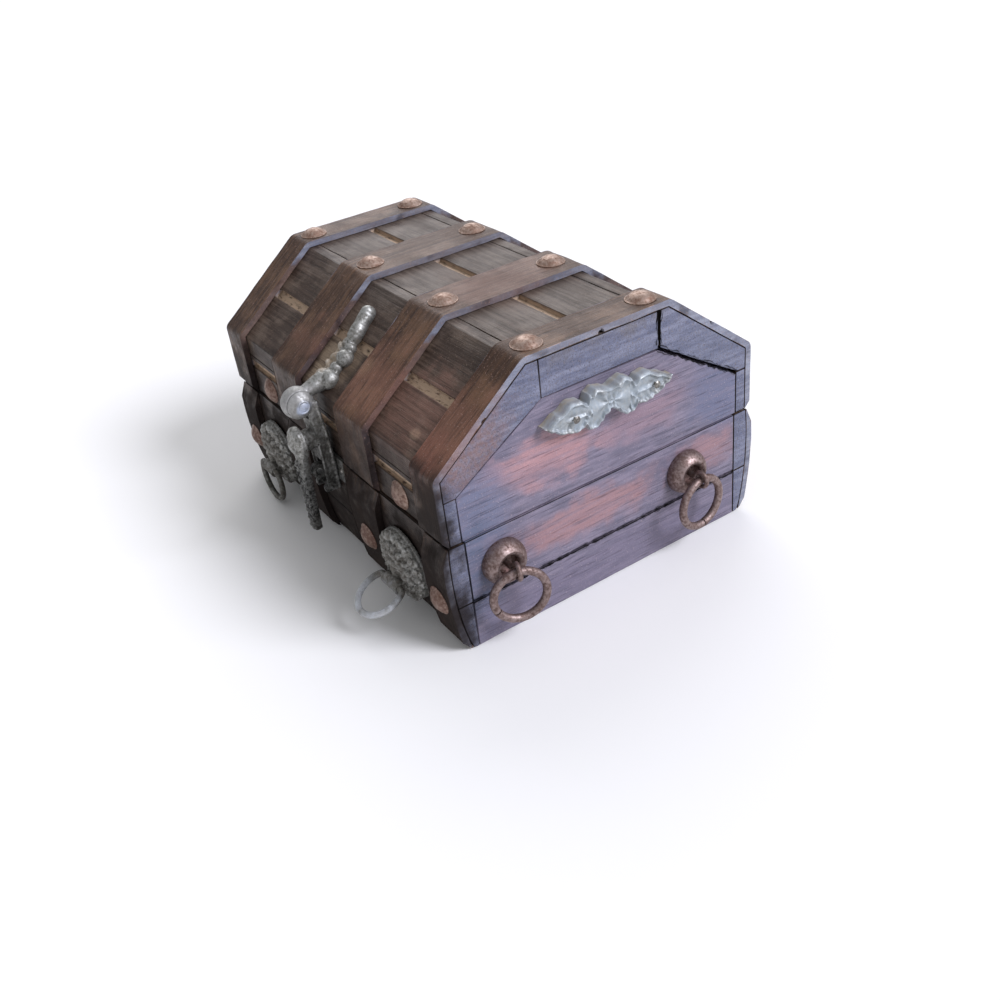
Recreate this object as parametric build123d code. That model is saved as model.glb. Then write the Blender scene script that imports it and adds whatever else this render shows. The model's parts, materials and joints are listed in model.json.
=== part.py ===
from build123d import *
import math
import os

# A small wooden keepsake chest with a five-sided lid, raised straps, domed tacks,
# cast pewter mounts, a drop hasp and pull rings. All lengths are millimetres.
# X runs along the chest, minus Y is the front, Z is up, and the origin is the
# middle of the underside.

os.makedirs("parts", exist_ok=True)

# The case: overall sizes of the outer profile, measured over the straps
case_length = 137.5
case_depth = 110.0
base_height = 35.4
parting_gap = 0.4
lid_wall_rise = 21.6
lid_crown_rise = 23.7
flat_top_depth = 49.1
knee_height = base_height + lid_wall_rise
case_height = knee_height + lid_crown_rise
lid_foot_height = base_height + parting_gap
wall_reach = case_depth / 2

# The base's front and back bulge a little, most at one height
base_bulge = 1.0
base_bulge_height = 26.0
base_bulge_radius = 105.0

# Straps: thin slats bent over the boards
strap_thickness = 2.2
end_strap_width = 12.3
middle_strap_width = 18.2
middle_strap_spacing_share = 0.3164
strap_knee_radius = 3.0
case_foot_radius = 3.6
strap_edge_radius = 0.45
groove_depth_share = 0.818
lid_groove_height = 2.0
base_groove_height = 5.0

# Boards
end_board_thickness = 6.0
base_wall_thickness = 6.6
lid_wall_thickness = 6.0
floor_thickness = 5.0
base_tier_height = 15.5
top_plank_share = 0.815
top_plank_thickness = 11.2
slope_plank_foot_drop = 7.5
board_knee_radius = 1.2
slot_width = 2.8
slot_depth = 1.5
overrun = 1.0
across_share = 0.5

# Domed tacks
tack_radius = 4.4
tack_dome_height = 2.2
tack_shank_radius = 0.7
top_tack_spacing_share = 0.95
top_tack_shank_length = 7.0
front_tack_clearance = 0.3
front_tack_shank_length = 3.0
base_tack_height = 16.4
base_tack_shank_length = 4.6

# Small nails of the castings
nail_head_radius = 1.1
nail_dome_height = 0.5
nail_shank_radius = 0.45
nail_grip = 2.4

# Round lion plates on the front, each with a drop ring
plate_bay_clearance = 1.3
plate_height = 17.8
plate_shift = 0.8
plate_rim_thickness = 3.0
plate_rim_width = 2.5
plate_dome_height = 1.8
plate_nail_inset = 2.1
plate_nail_lift = 3.0
plate_nail_seat_radius = 1.2
muzzle_width = 8.8
muzzle_radius = 2.0
drop_axis_height = 13.6
drop_axis_stand = 4.9
drop_wire_radius = 0.95
drop_ring_radius = 7.5
drop_ring_offset = 4.6
drop_bend_radius = 1.2
drop_pin_depth = 2.0
drop_pin_clearance = 0.05
raised_drop_angle = 66.0

# Hollow bosses with an eye and a ring, two on each end
boss_radius = 6.8
boss_height = 4.4
boss_shoulder_radius = 6.3
boss_shoulder_height = 2.6
boss_mouth_radius = 3.1
boss_lip_radius = 1.4
boss_lip_middle_angle = 45.0
boss_floor_thickness = 1.2
front_boss_inset = 10.8
back_boss_inset = 20.1
boss_centre_height = 24.6
eye_wire_radius = 0.7
eye_inner_radius = 1.5
eye_shank_radius = 0.9
eye_shank_grip = 4.5
eye_lift = 7.2
ring_wire_radius = 1.2
ring_radius = 7.75
ring_sag = 0.2
ring_split = 0.35
ring_turn_angles = {"left_front": 0, "left_back": 0, "right_front": -15, "right_back": 5}
ring_split_angles = {"left_front": 300, "left_back": 250, "right_front": 205, "right_back": 275}

# End ornaments on the lid
ornament_thickness = 4.6
ornament_half_length = 21.8
ornament_half_height = 6.0
ornament_drop = 7.4
ornament_shift = -0.1
ornament_nail_shift = 1.2
ornament_corner_radius = 0.5
ornament_nail_spacing = 27.6

# Hasp: casting on the lid slope, hinged arm and swinging tongue
hasp_axis_stand = 5.3
hasp_axis_drop = 1.4
hasp_ball_radius = 4.9
hasp_knuckle_width = 4.0
hasp_knuckle_gap = 0.25
hasp_pin_radius = 1.0
hasp_pin_clearance = 0.05
hasp_pin_head_radius = 1.6
hasp_pin_head_height = 0.5
casting_thickness = 2.0
casting_start = 2.8
casting_end = 30.0
casting_half_width = 4.6
finger_radius = 2.1
finger_length = 12.5
finger_tilt = 11.0
large_bead_radius = 3.1
small_bead_radius = 2.6
large_bead_spread = 1.4
small_bead_spread = 2.1
large_bead_place = 4.9
small_bead_place = 12.7
bead_dome_height = 2.0
neck_thickness = 2.6
casting_nail_places_up = (9.0, 16.4)
arm_width = 7.6
arm_thickness = 3.4
arm_length = 30.6
arm_top_stand = 4.2
arm_middle_stand = 2.8
arm_tip_stand = 2.4
arm_curl_stand = 3.8
arm_curl_height = 1.6
fork_width = 4.0
fork_clearance = 1.4
tongue_place_share = 0.5817
tongue_boss_radius = 3.1
tongue_back_stand = 7.0
tongue_thickness = 3.0
tongue_head_radius = 5.2
tongue_neck_drop = 6.3
tongue_neck_half_width = 2.9
tongue_tip_half_width = 1.7
tongue_length = 30.8
tongue_play = 0.15
tongue_edge_radius = 0.8
rivet_radius = 1.1
rivet_clearance = 0.05
rivet_head_radius = 1.9
rivet_head_height = 0.6
rivet_grip = 4.4

# Staple on the base that the forked arm drops over
staple_plate_width = 15.0
staple_plate_height = 7.4
staple_plate_thickness = 1.1
staple_drop = 3.8
staple_width = 2.6
staple_rise = 4.4
staple_stand = 6.0
staple_eye_radius = 1.2
staple_nail_spacing = 11.4

# Two butt hinges at the back
hinge_width = 16.0
hinge_leaf_height = 9.0
hinge_leaf_thickness = 0.8
hinge_knuckle_radius = 1.7
hinge_knuckle_clearance = 0.3
hinge_leaf_offset = 2.1
hinge_pin_radius = 0.75
hinge_pin_clearance = 0.05
hinge_seat_gap = 0.05
hinge_recess_clearance = 0.2
screw_head_radius = 1.3
screw_head_height = 0.45
screw_shank_radius = 0.6
screw_grip = 2.6
screw_spacing = 10.0

# Places worked out from the sizes above
half_length = case_length / 2
middle_strap_x = case_length * middle_strap_spacing_share / 2
end_strap_x = half_length - end_strap_width / 2
strap_spans = [
    (-half_length, -half_length + end_strap_width),
    (-middle_strap_x - middle_strap_width / 2, -middle_strap_x + middle_strap_width / 2),
    (middle_strap_x - middle_strap_width / 2, middle_strap_x + middle_strap_width / 2),
    (half_length - end_strap_width, half_length),
]
bay_spans = [(left[1], right[0]) for left, right in zip(strap_spans, strap_spans[1:])]
strap_centres = [-end_strap_x, -middle_strap_x, middle_strap_x, end_strap_x]
bay_centre = sum(bay_spans[-1]) / 2
bay_width = max(bay_spans[-1]) - min(bay_spans[-1])
inner_half_length = half_length - end_board_thickness
base_inner_depth = case_depth - 2 * base_wall_thickness
lid_inner_depth = case_depth - 2 * lid_wall_thickness
board_reach = wall_reach - strap_thickness
front_boss_offset = base_inner_depth / 2 - front_boss_inset
back_boss_offset = base_inner_depth / 2 - back_boss_inset
bulge_centre = base_bulge_radius - base_bulge - wall_reach
groove_depth = strap_thickness * groove_depth_share
top_plank_depth = flat_top_depth * top_plank_share
top_tack_spacing = top_plank_depth * top_tack_spacing_share
slope_plank_foot_height = knee_height - slope_plank_foot_drop
front_slot_height = (lid_foot_height + knee_height) / 2
front_tack_height = lid_foot_height + tack_radius + front_tack_clearance
plate_centres = [-bay_centre, bay_centre - plate_shift]
plate_radius = bay_width / 2 - plate_bay_clearance
plate_dome_radius = plate_radius - plate_rim_width
plate_nail_spacing = 2 * (plate_radius - plate_nail_inset)
drop_axis_reach = wall_reach + drop_axis_stand
hasp_axis_reach = wall_reach + hasp_axis_stand
hasp_axis_height = knee_height - hasp_axis_drop
arm_top_reach = wall_reach + arm_top_stand
arm_middle_reach = wall_reach + arm_middle_stand
arm_tip_reach = wall_reach + arm_tip_stand
arm_curl_reach = wall_reach + arm_curl_stand
arm_tip_height = hasp_axis_height - arm_length
tongue_back_reach = wall_reach + tongue_back_stand
tongue_axis_height = arm_tip_height + arm_length * tongue_place_share
staple_height = base_height - staple_drop
staple_reach = wall_reach + staple_stand
fork_top_height = staple_height + staple_rise / 2 + fork_clearance
hinge_axis_reach = board_reach + hinge_seat_gap + hinge_knuckle_radius
hinge_axis_height = base_height + parting_gap / 2

lid_outline = [
    (-wall_reach, lid_foot_height),
    (-wall_reach, knee_height),
    (-flat_top_depth / 2, case_height),
    (flat_top_depth / 2, case_height),
    (wall_reach, knee_height),
    (wall_reach, lid_foot_height),
]


def save(shape, node):
    """Write one node's solids to its own file."""
    items = shape if isinstance(shape, list) else [shape]
    solids = [solid for item in items for solid in item.solids()]
    body = Compound(children=solids) if len(solids) > 1 else solids[0]
    export_step(body, "parts/" + node + ".step")


def meet(line_a, line_b):
    """Point where two lines cross, each given as a point and a direction."""
    (ay, az), (ady, adz) = line_a
    (by, bz), (bdy, bdz) = line_b
    cross = ady * bdz - adz * bdy
    along = ((by - ay) * bdz - (bz - az) * bdy) / cross
    return (ay + ady * along, az + adz * along)


def inset_outline(outline, distance):
    """Outline that lies a distance inside the lid's outer profile."""
    level = ((0, outline[0][1]), (1, 0))
    lines = []
    for (ay, az), (by, bz) in zip(outline, outline[1:]):
        run = math.hypot(by - ay, bz - az)
        dy, dz = (by - ay) / run, (bz - az) / run
        lines.append(((ay + dz * distance, az - dy * distance), (dy, dz)))
    corners = [meet(first, second) for first, second in zip(lines, lines[1:])]
    return [meet(lines[0], level)] + corners + [meet(lines[-1], level)]


board_outline = inset_outline(lid_outline, strap_thickness)
plank_underside = board_outline[2][1] - top_plank_thickness
ornament_centre_height = plank_underside - ornament_drop


def base_face(height, inset=0):
    """Distance from the middle plane to the bulged front or back of the base."""
    return math.sqrt((base_bulge_radius - inset) ** 2 - (height - base_bulge_height) ** 2) - bulge_centre


def near(vertex, points):
    """True where a vertex is one of some (y, z) points."""
    return any(math.hypot(vertex.X - y, vertex.Y - z) < parting_gap / 2 for y, z in points)


def slab(points, x_start, x_end, rounded=(), radius=0):
    """Extrude an outline of (y, z) points along X, with some corners rounded."""
    outline = make_face(Polyline(*points, close=True))
    if rounded:
        outline = fillet([vertex for vertex in outline.vertices() if near(vertex, rounded)], radius)
    return extrude(Plane.YZ.offset(x_start) * outline, amount=x_end - x_start)


def mirrored(points):
    """The same outline on the other side of the middle plane."""
    return [(-y, z) for y, z in points]


def block(x_span, y_span, z_span):
    """Box between two values along each axis."""
    spans = (x_span, y_span, z_span)
    centre = [sum(span) / 2 for span in spans]
    return Pos(*centre) * Box(*[max(span) - min(span) for span in spans])


def bar(radius, x_start, x_end, y, z):
    """Round bar along X."""
    return Pos((x_start + x_end) / 2, y, z) * Rot(0, 90, 0) * Cylinder(radius, abs(x_end - x_start))


slope_rise = board_outline[2][1] - board_outline[1][1]
slope_run = board_outline[2][0] - board_outline[1][0]
slope_length = math.hypot(slope_rise, slope_run)
slope_up = (slope_run / slope_length, slope_rise / slope_length)


def slope_plane(along, side=-1, x=0):
    """Plane on the front (side -1) or back slope's board, some way up from the knee."""
    knee_y, knee_z = board_outline[1]
    y = -side * (knee_y + slope_up[0] * along)
    normal = (0, side * slope_up[1], slope_up[0])
    return Plane(origin=(x, y, knee_z + slope_up[1] * along), x_dir=(1, 0, 0), z_dir=normal)


def base_plane(x, height, inset, side=-1):
    """Plane on the base's front (side -1) or back (side 1)."""
    normal = (0, side * (base_face(height, inset) + bulge_centre), height - base_bulge_height)
    return Plane(origin=(x, side * base_face(height, inset), height), x_dir=(1, 0, 0), z_dir=normal)


def wall_plane(x, height, reach, side=-1):
    """Upright plane that faces the front (side -1) or the back (side 1)."""
    return Plane(origin=(x, side * reach, height), x_dir=(1, 0, 0), z_dir=(0, side, 0))


def end_plane(side, y, height):
    """Plane on the left (side -1) or right (side 1) end of the case."""
    return Plane(origin=(side * half_length, y, height), x_dir=(0, side, 0), z_dir=(side, 0, 0))


def peg(radius, length):
    """Round bar that starts at the plane and runs against its normal."""
    return Pos(0, 0, -length / 2) * Cylinder(radius, length)


def peg_up(radius, length):
    """Round bar that starts at the plane and runs along its normal."""
    return Pos(0, 0, length / 2) * Cylinder(radius, length)


def dome(radius, height):
    """Spherical cap that stands on the plane."""
    sphere_radius = (radius ** 2 + height ** 2) / (2 * height)
    ball = Pos(0, 0, height - sphere_radius) * Sphere(sphere_radius)
    return ball & Pos(0, 0, height / 2) * Cylinder(radius, height)


def tacks(places, shank_length):
    """Domed tacks, one at each plane."""
    return [
        place * (dome(tack_radius, tack_dome_height) + peg(tack_shank_radius, shank_length))
        for place in places
    ]


def nails(places, lift, grip):
    """Small nails whose heads sit a given height above each plane."""
    nail = dome(nail_head_radius, nail_dome_height) + peg(nail_shank_radius, lift + grip)
    return [place * Pos(0, 0, lift) * nail for place in places]


def drilled(shape, places, radius, depth, lift=0):
    """The shape with a hole at each plane."""
    for place in places:
        shape = shape - place * (Pos(0, 0, lift) * peg(radius, depth + lift))
    return shape


# Where the fasteners go
top_tack_places = [
    Plane(origin=(x, y, case_height), x_dir=(1, 0, 0), z_dir=(0, 0, 1))
    for x in strap_centres for y in (-top_tack_spacing / 2, top_tack_spacing / 2)
]
front_tack_places = [wall_plane(x, front_tack_height, board_reach) for x in (-bay_centre, bay_centre)]
base_tack_places = {
    side: [base_plane(x, base_tack_height, 0, side) for x in strap_centres] for side in (-1, 1)
}
plate_places = [base_plane(x, plate_height, strap_thickness) for x in plate_centres]
plate_nail_places = [
    place * Pos(dx, plate_nail_lift, 0)
    for place in plate_places for dx in (-plate_nail_spacing / 2, plate_nail_spacing / 2)
]
staple_place = base_plane(0, staple_height, strap_thickness + staple_plate_thickness)
staple_nail_places = [
    staple_place * Pos(dx, 0, 0) for dx in (-staple_nail_spacing / 2, staple_nail_spacing / 2)
]
casting_nail_places = [slope_plane(along) for along in casting_nail_places_up]
boss_places = {
    "left_front": end_plane(-1, -front_boss_offset, boss_centre_height),
    "left_back": end_plane(-1, back_boss_offset, boss_centre_height),
    "right_front": end_plane(1, -front_boss_offset, boss_centre_height),
    "right_back": end_plane(1, back_boss_offset, boss_centre_height),
}
ornament_nail_places = {
    side: [
        end_plane(side, ornament_nail_shift + dy, ornament_centre_height)
        for dy in (-ornament_nail_spacing / 2, ornament_nail_spacing / 2)
    ]
    for side in (-1, 1)
}
hinge_centres = [-bay_centre, bay_centre]


def screw_places(side):
    """Screws of the lower (side -1) or upper (side 1) hinge leaves."""
    height = hinge_axis_height + side * (hinge_leaf_offset + hinge_leaf_height / 2)
    return [
        wall_plane(x + dx, height, board_reach + hinge_seat_gap, 1)
        for x in hinge_centres for dx in (-screw_spacing / 2, screw_spacing / 2)
    ]


# Base: floor, two tiers of boards, straps
def base_floor():
    """Bottom board, let in between the lower tier's boards."""
    return block(
        (-inner_half_length, inner_half_length),
        (-base_inner_depth / 2, base_inner_depth / 2),
        (0, floor_thickness),
    )


def base_shell(inset):
    """Solid inside the base's bulged faces, with its long bottom edges rounded."""
    foot = base_face(0)
    spread = base_height * base_bulge_height / (foot + bulge_centre)
    feet = [(-foot, 0), (foot, 0)]
    head = [(foot + spread, base_height), (-foot - spread, base_height)]
    shell = slab(feet + head, -half_length, half_length, feet, case_foot_radius)
    for side in (-1, 1):
        shell = shell & bar(
            base_bulge_radius - inset, -half_length, half_length, -side * bulge_centre, base_bulge_height
        )
    return shell


def base_board(side, low, high):
    """One long board of the base between two heights, with its end grain at the ends."""
    y_span = (side * base_inner_depth / 2, side * case_depth)
    board = base_shell(strap_thickness) & block((-half_length, half_length), y_span, (low, high))
    board = drilled(board, base_tack_places[side], tack_shank_radius, base_tack_shank_length)
    if side > 0:
        for x in hinge_centres:
            board = board - hinge_recess(x)
        return drilled(board, screw_places(-1), screw_shank_radius, screw_grip)
    board = drilled(board, plate_nail_places, nail_shank_radius, nail_grip) - staple_plate()
    return drilled(board, staple_nail_places, nail_shank_radius, nail_grip)


def staple_plate():
    """Plate that is let in flush with the front board."""
    return staple_place * Pos(0, 0, staple_plate_thickness / 2) * Box(
        staple_plate_width, staple_plate_height, staple_plate_thickness
    )


def hinge_recess(x):
    """Room let into the base's back for a hinge's lower leaf and its knuckles."""
    half_width = hinge_width / 2 + hinge_recess_clearance
    lowest = hinge_axis_height - hinge_leaf_offset - hinge_leaf_height - hinge_recess_clearance
    return block(
        (x - half_width, x + half_width), (board_reach, case_depth), (lowest, lid_foot_height)
    )


def base_end(side, low, high):
    """One end board of the base between two heights."""
    inner = base_inner_depth / 2
    board = block((side * inner_half_length, side * half_length), (-inner, inner), (low, high))
    ends = [place for name, place in boss_places.items() if place.z_dir.X * side > 0]
    return drilled(board, ends, eye_shank_radius, eye_shank_grip)


def base_straps(side):
    """The four upright slats on the base's front or back."""
    shoulder = base_height - base_groove_height
    groove = [
        (base_face(base_height) - groove_depth, base_height + overrun),
        (base_face(base_height) - groove_depth, base_height),
        (base_face(shoulder), shoulder),
        (case_depth, shoulder),
        (case_depth, base_height + overrun),
    ]
    if side < 0:
        groove = mirrored(groove)
    skin = base_shell(0) - bar(
        base_bulge_radius - strap_thickness, -case_length, case_length, -side * bulge_centre,
        base_bulge_height,
    )
    skin = skin - slab(groove, -case_length, case_length)
    slats = []
    for span, place in zip(strap_spans, base_tack_places[side]):
        slat = skin & block(span, (side * base_inner_depth / 2, side * case_depth), (0, base_height))
        slats.append(drilled(slat, [place], tack_shank_radius, base_tack_shank_length))
    return slats


# Lid: planks, end panels, straps
def slotted(board, place_at):
    """The board with one groove in each bay; place_at gives the plane for an X."""
    for start, end in bay_spans:
        groove = place_at((start + end) / 2) * Box(end - start, slot_width, 2 * slot_depth)
        board = board - groove
    return board


def lid_board(side):
    """Upright board at the lid's front or back."""
    inner = lid_inner_depth / 2
    points = [
        (board_reach, lid_foot_height),
        (board_reach, slope_plank_foot_height),
        (inner, slope_plank_foot_height),
        (inner, lid_foot_height),
    ]
    if side < 0:
        points = mirrored(points)
    board = slab(points, -half_length, half_length)
    board = slotted(board, lambda x: wall_plane(x, front_slot_height, board_reach, side))
    if side > 0:
        return drilled(board, screw_places(1), screw_shank_radius, screw_grip)
    return drilled(board, front_tack_places, tack_shank_radius, front_tack_shank_length)


def lid_slope(side):
    """Sloping plank that also forms the rounded knee above the upright board."""
    edge = top_plank_depth / 2
    points = [
        (-edge, board_outline[2][1]),
        board_outline[2],
        board_outline[1],
        (-board_reach, slope_plank_foot_height),
        (-lid_inner_depth / 2, slope_plank_foot_height),
        (-edge, plank_underside),
    ]
    if side > 0:
        points = mirrored(points)
    knees = points[1:3]
    plank = slab(points, -half_length, half_length, knees, board_knee_radius)
    plank = slotted(plank, lambda x: slope_plane(slope_length / 2, side, x))
    if side > 0:
        return plank
    return drilled(plank, casting_nail_places, nail_shank_radius, nail_grip)


def lid_top():
    """Thick top plank between the two sloping planks."""
    edge = top_plank_depth / 2
    plank = block((-half_length, half_length), (-edge, edge), (plank_underside, board_outline[2][1]))
    plank = slotted(plank, lambda x: Plane(origin=(x, 0, board_outline[2][1]), z_dir=(0, 0, 1)))
    return drilled(plank, top_tack_places, tack_shank_radius, top_tack_shank_length)


def lid_end(side):
    """End panel that fills the profile under the planks."""
    inner = lid_inner_depth / 2
    edge = top_plank_depth / 2
    points = [
        (-inner, lid_foot_height),
        (-inner, slope_plank_foot_height),
        (-edge, plank_underside),
        (edge, plank_underside),
        (inner, slope_plank_foot_height),
        (inner, lid_foot_height),
    ]
    start, end = sorted((side * inner_half_length, side * half_length))
    panel = slab(points, start, end)
    return drilled(panel, ornament_nail_places[side], nail_shank_radius, nail_grip)


def on_outline(edge):
    """True where an edge runs round the strap's outer face, not along X."""
    middle = edge.center()
    if abs(edge.tangent_at(0).X) > across_share:
        return False
    above_foot = middle.Z > lid_foot_height + lid_groove_height
    outside_wall = abs(middle.Y) > wall_reach - strap_thickness / 2
    slope_y = abs(middle.Y) - flat_top_depth / 2
    slope_z = case_height - strap_thickness / 2 - middle.Z
    outside_slope = slope_y * slope_rise - slope_z * slope_run > -strap_thickness * slope_run
    return above_foot and (outside_wall or slope_z < 0 or outside_slope)


def lid_strap(index):
    """Thin slat bent over the lid's five faces, with worn outer edges."""
    shoulder = lid_foot_height + lid_groove_height
    right = [
        lid_outline[3],
        lid_outline[4],
        (wall_reach, shoulder),
        (wall_reach - groove_depth, lid_foot_height),
        board_outline[5],
        board_outline[4],
        board_outline[3],
    ]
    left = mirrored(reversed(right))
    strap = slab(right + left, *strap_spans[index], lid_outline[1:5], strap_knee_radius)
    rims = [edge for edge in strap.edges() if on_outline(edge)]
    strap = fillet(rims, strap_edge_radius)
    return drilled(strap, top_tack_places[2 * index:2 * index + 2], tack_shank_radius, top_tack_shank_length)


# Round lion plates and their drop rings
def lion_plate(index):
    """Round cast plate with a raised face and a muzzle bored for the ring's ends."""
    place = plate_places[index]
    centre_x = plate_centres[index]
    rim = Pos(0, 0, plate_rim_thickness / 2) * Cylinder(plate_radius, plate_rim_thickness)
    face = Pos(0, 0, plate_rim_thickness) * dome(plate_dome_radius, plate_dome_height)
    plate = place * (rim + face)
    x_span = (centre_x - muzzle_width / 2, centre_x + muzzle_width / 2)
    back = base_face(drop_axis_height, strap_thickness) + plate_rim_thickness / 2
    z_span = (drop_axis_height - muzzle_radius, drop_axis_height + muzzle_radius)
    plate = plate + block(x_span, (-drop_axis_reach, -back), z_span)
    plate = plate + bar(muzzle_radius, *x_span, -drop_axis_reach, drop_axis_height)
    hole = drop_wire_radius + drop_pin_clearance
    depth = drop_pin_depth + drop_pin_clearance
    for end, inward in ((x_span[0], 1), (x_span[1], -1)):
        plate = plate - bar(hole, end, end + inward * depth, -drop_axis_reach, drop_axis_height)
    nail_holes = plate_nail_places[2 * index:2 * index + 2]
    for hole_place in nail_holes:
        seat = Pos(0, 0, plate_rim_thickness) * peg_up(plate_nail_seat_radius, plate_dome_height)
        plate = plate - hole_place * seat
    return drilled(plate, nail_holes, nail_shank_radius, overrun, plate_rim_thickness)


def drop_path():
    """Line of a drop ring's wire: a straight end, a bend, the hoop, a bend, a straight end."""
    bend_reach = drop_ring_radius - drop_bend_radius
    bend_drop = drop_ring_offset - drop_bend_radius
    bend_x = math.sqrt(bend_reach ** 2 - bend_drop ** 2)
    turn = math.atan2(bend_drop, bend_x)
    hoop_x = drop_ring_radius * math.cos(turn)
    hoop_z = drop_ring_radius * math.sin(turn) - drop_ring_offset
    middle_turn = (turn + math.pi / 2) / 2
    middle_x = bend_x + drop_bend_radius * math.cos(middle_turn)
    middle_z = drop_bend_radius * math.sin(middle_turn) - drop_bend_radius
    inner_x = muzzle_width / 2 - drop_pin_depth
    lowest = (0, -drop_ring_radius - drop_ring_offset)
    runs = [
        Line((inner_x, 0), (bend_x, 0)),
        ThreePointArc((bend_x, 0), (middle_x, middle_z), (hoop_x, hoop_z)),
        ThreePointArc((hoop_x, hoop_z), lowest, (-hoop_x, hoop_z)),
        ThreePointArc((-hoop_x, hoop_z), (-middle_x, middle_z), (-bend_x, 0)),
        Line((-bend_x, 0), (-inner_x, 0)),
    ]
    return Plane.XZ * Wire([run.edge() for run in runs])


def drop_ring(index, raised_angle):
    """Open wire ring that hangs from two short ends turned into the muzzle."""
    path = drop_path()
    ring = sweep(Plane(origin=path @ 0, z_dir=path % 0) * Circle(drop_wire_radius), path)
    return Pos(plate_centres[index], -drop_axis_reach, drop_axis_height) * Rot(-raised_angle, 0, 0) * ring


# Hollow bosses, eyes and pull rings on the ends
def ring_boss(place):
    """Domed cup with a rounded mouth and a thin floor that the eye's shank pins down."""
    lip = boss_mouth_radius + boss_lip_radius
    lip_low = boss_height - boss_lip_radius
    turn = math.radians(boss_lip_middle_angle)
    lip_middle = lip - boss_lip_radius * math.cos(turn)
    lip_rise = lip_low + boss_lip_radius * math.sin(turn)
    bore = Polyline(
        (boss_mouth_radius, lip_low),
        (boss_mouth_radius, boss_floor_thickness),
        (eye_shank_radius, boss_floor_thickness),
        (eye_shank_radius, 0),
        (boss_radius, 0),
    )
    shoulder = (boss_shoulder_radius, boss_shoulder_height)
    outside = ThreePointArc((boss_radius, 0), shoulder, (lip, boss_height))
    rim = ThreePointArc((lip, boss_height), (lip_middle, lip_rise), (boss_mouth_radius, lip_low))
    section = make_face((bore + outside + rim).edges())
    return place * revolve(Plane.XZ * section, Axis.Z)


eye_loop_radius = eye_inner_radius + eye_wire_radius


def ring_eye(place, turn):
    """Eye on a straight shank, let into the end board, its loop turned a little."""
    loop = Pos(0, 0, eye_lift) * Rot(0, 90 + turn, 0) * Torus(eye_loop_radius, eye_wire_radius)
    foot = peg_up(eye_shank_radius, eye_lift - eye_inner_radius - eye_wire_radius)
    return place * (loop + foot + peg(eye_shank_radius, eye_shank_grip))


def pull_ring(place, split_angle, turn):
    """Bent wire ring whose ends butt, hanging square in its eye."""
    ring = Torus(ring_radius, ring_wire_radius)
    cut = Pos(ring_radius, 0, 0) * Box(4 * ring_wire_radius, ring_split, 4 * ring_wire_radius)
    ring = ring - Rot(0, 0, split_angle) * cut
    return place * Pos(0, -ring_sag - ring_radius, eye_lift) * Rot(0, turn, 0) * ring


# Cast ornaments on the lid's ends
# Half of the outline, from the top of the waist to its bottom, as shares of the
# ornament's half length and half height
ornament_outline_shares = [
    (0.11, 0.88), (0.22, 0.98), (0.32, 0.80), (0.37, 0.45), (0.47, 0.70), (0.58, 0.75),
    (0.78, 0.40), (1.00, 0.02), (0.91, -0.27), (0.74, -0.60), (0.56, -0.77), (0.45, -0.73),
    (0.41, -0.58), (0.35, -0.93), (0.25, -1.00), (0.16, -0.77), (0.11, -0.50),
]


def end_ornament(side):
    """Cast ornament of two leaves that meet at a narrow waist."""
    right = [(u * ornament_half_length, v * ornament_half_height) for u, v in ornament_outline_shares]
    left = [(-x, y) for x, y in reversed(right)]
    outline = make_face(Polyline(*right, *left, close=True))
    outline = fillet(outline.vertices(), ornament_corner_radius)
    plate = extrude(outline, amount=ornament_thickness)
    plate = end_plane(side, ornament_shift, ornament_centre_height) * plate
    return drilled(plate, ornament_nail_places[side], nail_shank_radius, overrun, ornament_thickness)


# Hasp: casting on the slope, pin, forked arm, swinging tongue
def ball_slice(inner_x, outer_x, bore):
    """Slice of the hinge ball between two places along X, bored, before it is set in place."""
    radii = [math.sqrt(hasp_ball_radius ** 2 - x ** 2) for x in (inner_x, (inner_x + outer_x) / 2, outer_x)]
    flat = Polyline((outer_x, radii[2]), (outer_x, bore), (inner_x, bore), (inner_x, radii[0]))
    round_edge = ThreePointArc(
        (inner_x, radii[0]), ((inner_x + outer_x) / 2, radii[1]), (outer_x, radii[2])
    )
    return revolve(Plane.XZ * make_face((flat + round_edge).edges()), Axis.X)


hasp_axis = Pos(0, -hasp_axis_reach, hasp_axis_height)
hasp_bore = hasp_pin_radius + hasp_pin_clearance
cap_half_width = hasp_ball_radius - hasp_pin_head_height + hasp_pin_clearance * 2


def bead(x, along, radius):
    """Round lump with a domed top, standing on the slope."""
    foot = peg_up(radius, casting_thickness)
    return Pos(x, along, 0) * (foot + Pos(0, 0, casting_thickness) * dome(radius, bead_dome_height))


def finger():
    """Long rounded lobe at the casting's upper end, a little askew."""
    length = finger_length - 2 * finger_radius
    lobe = block((-finger_radius, finger_radius), (0, length), (0, casting_thickness))
    ridge = Pos(0, length / 2, casting_thickness) * Rot(90, 0, 0) * Cylinder(finger_radius, length)
    lobe = lobe + ridge
    for along in (0, length):
        lobe = lobe + Pos(0, along, 0) * peg_up(finger_radius, casting_thickness)
        lobe = lobe + Pos(0, along, casting_thickness) * Sphere(finger_radius)
    under = block((-wall_reach, wall_reach), (-wall_reach, wall_reach), (-wall_reach, 0))
    return Pos(0, casting_end - finger_length + finger_radius, 0) * Rot(0, 0, finger_tilt) * (lobe - under)


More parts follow.
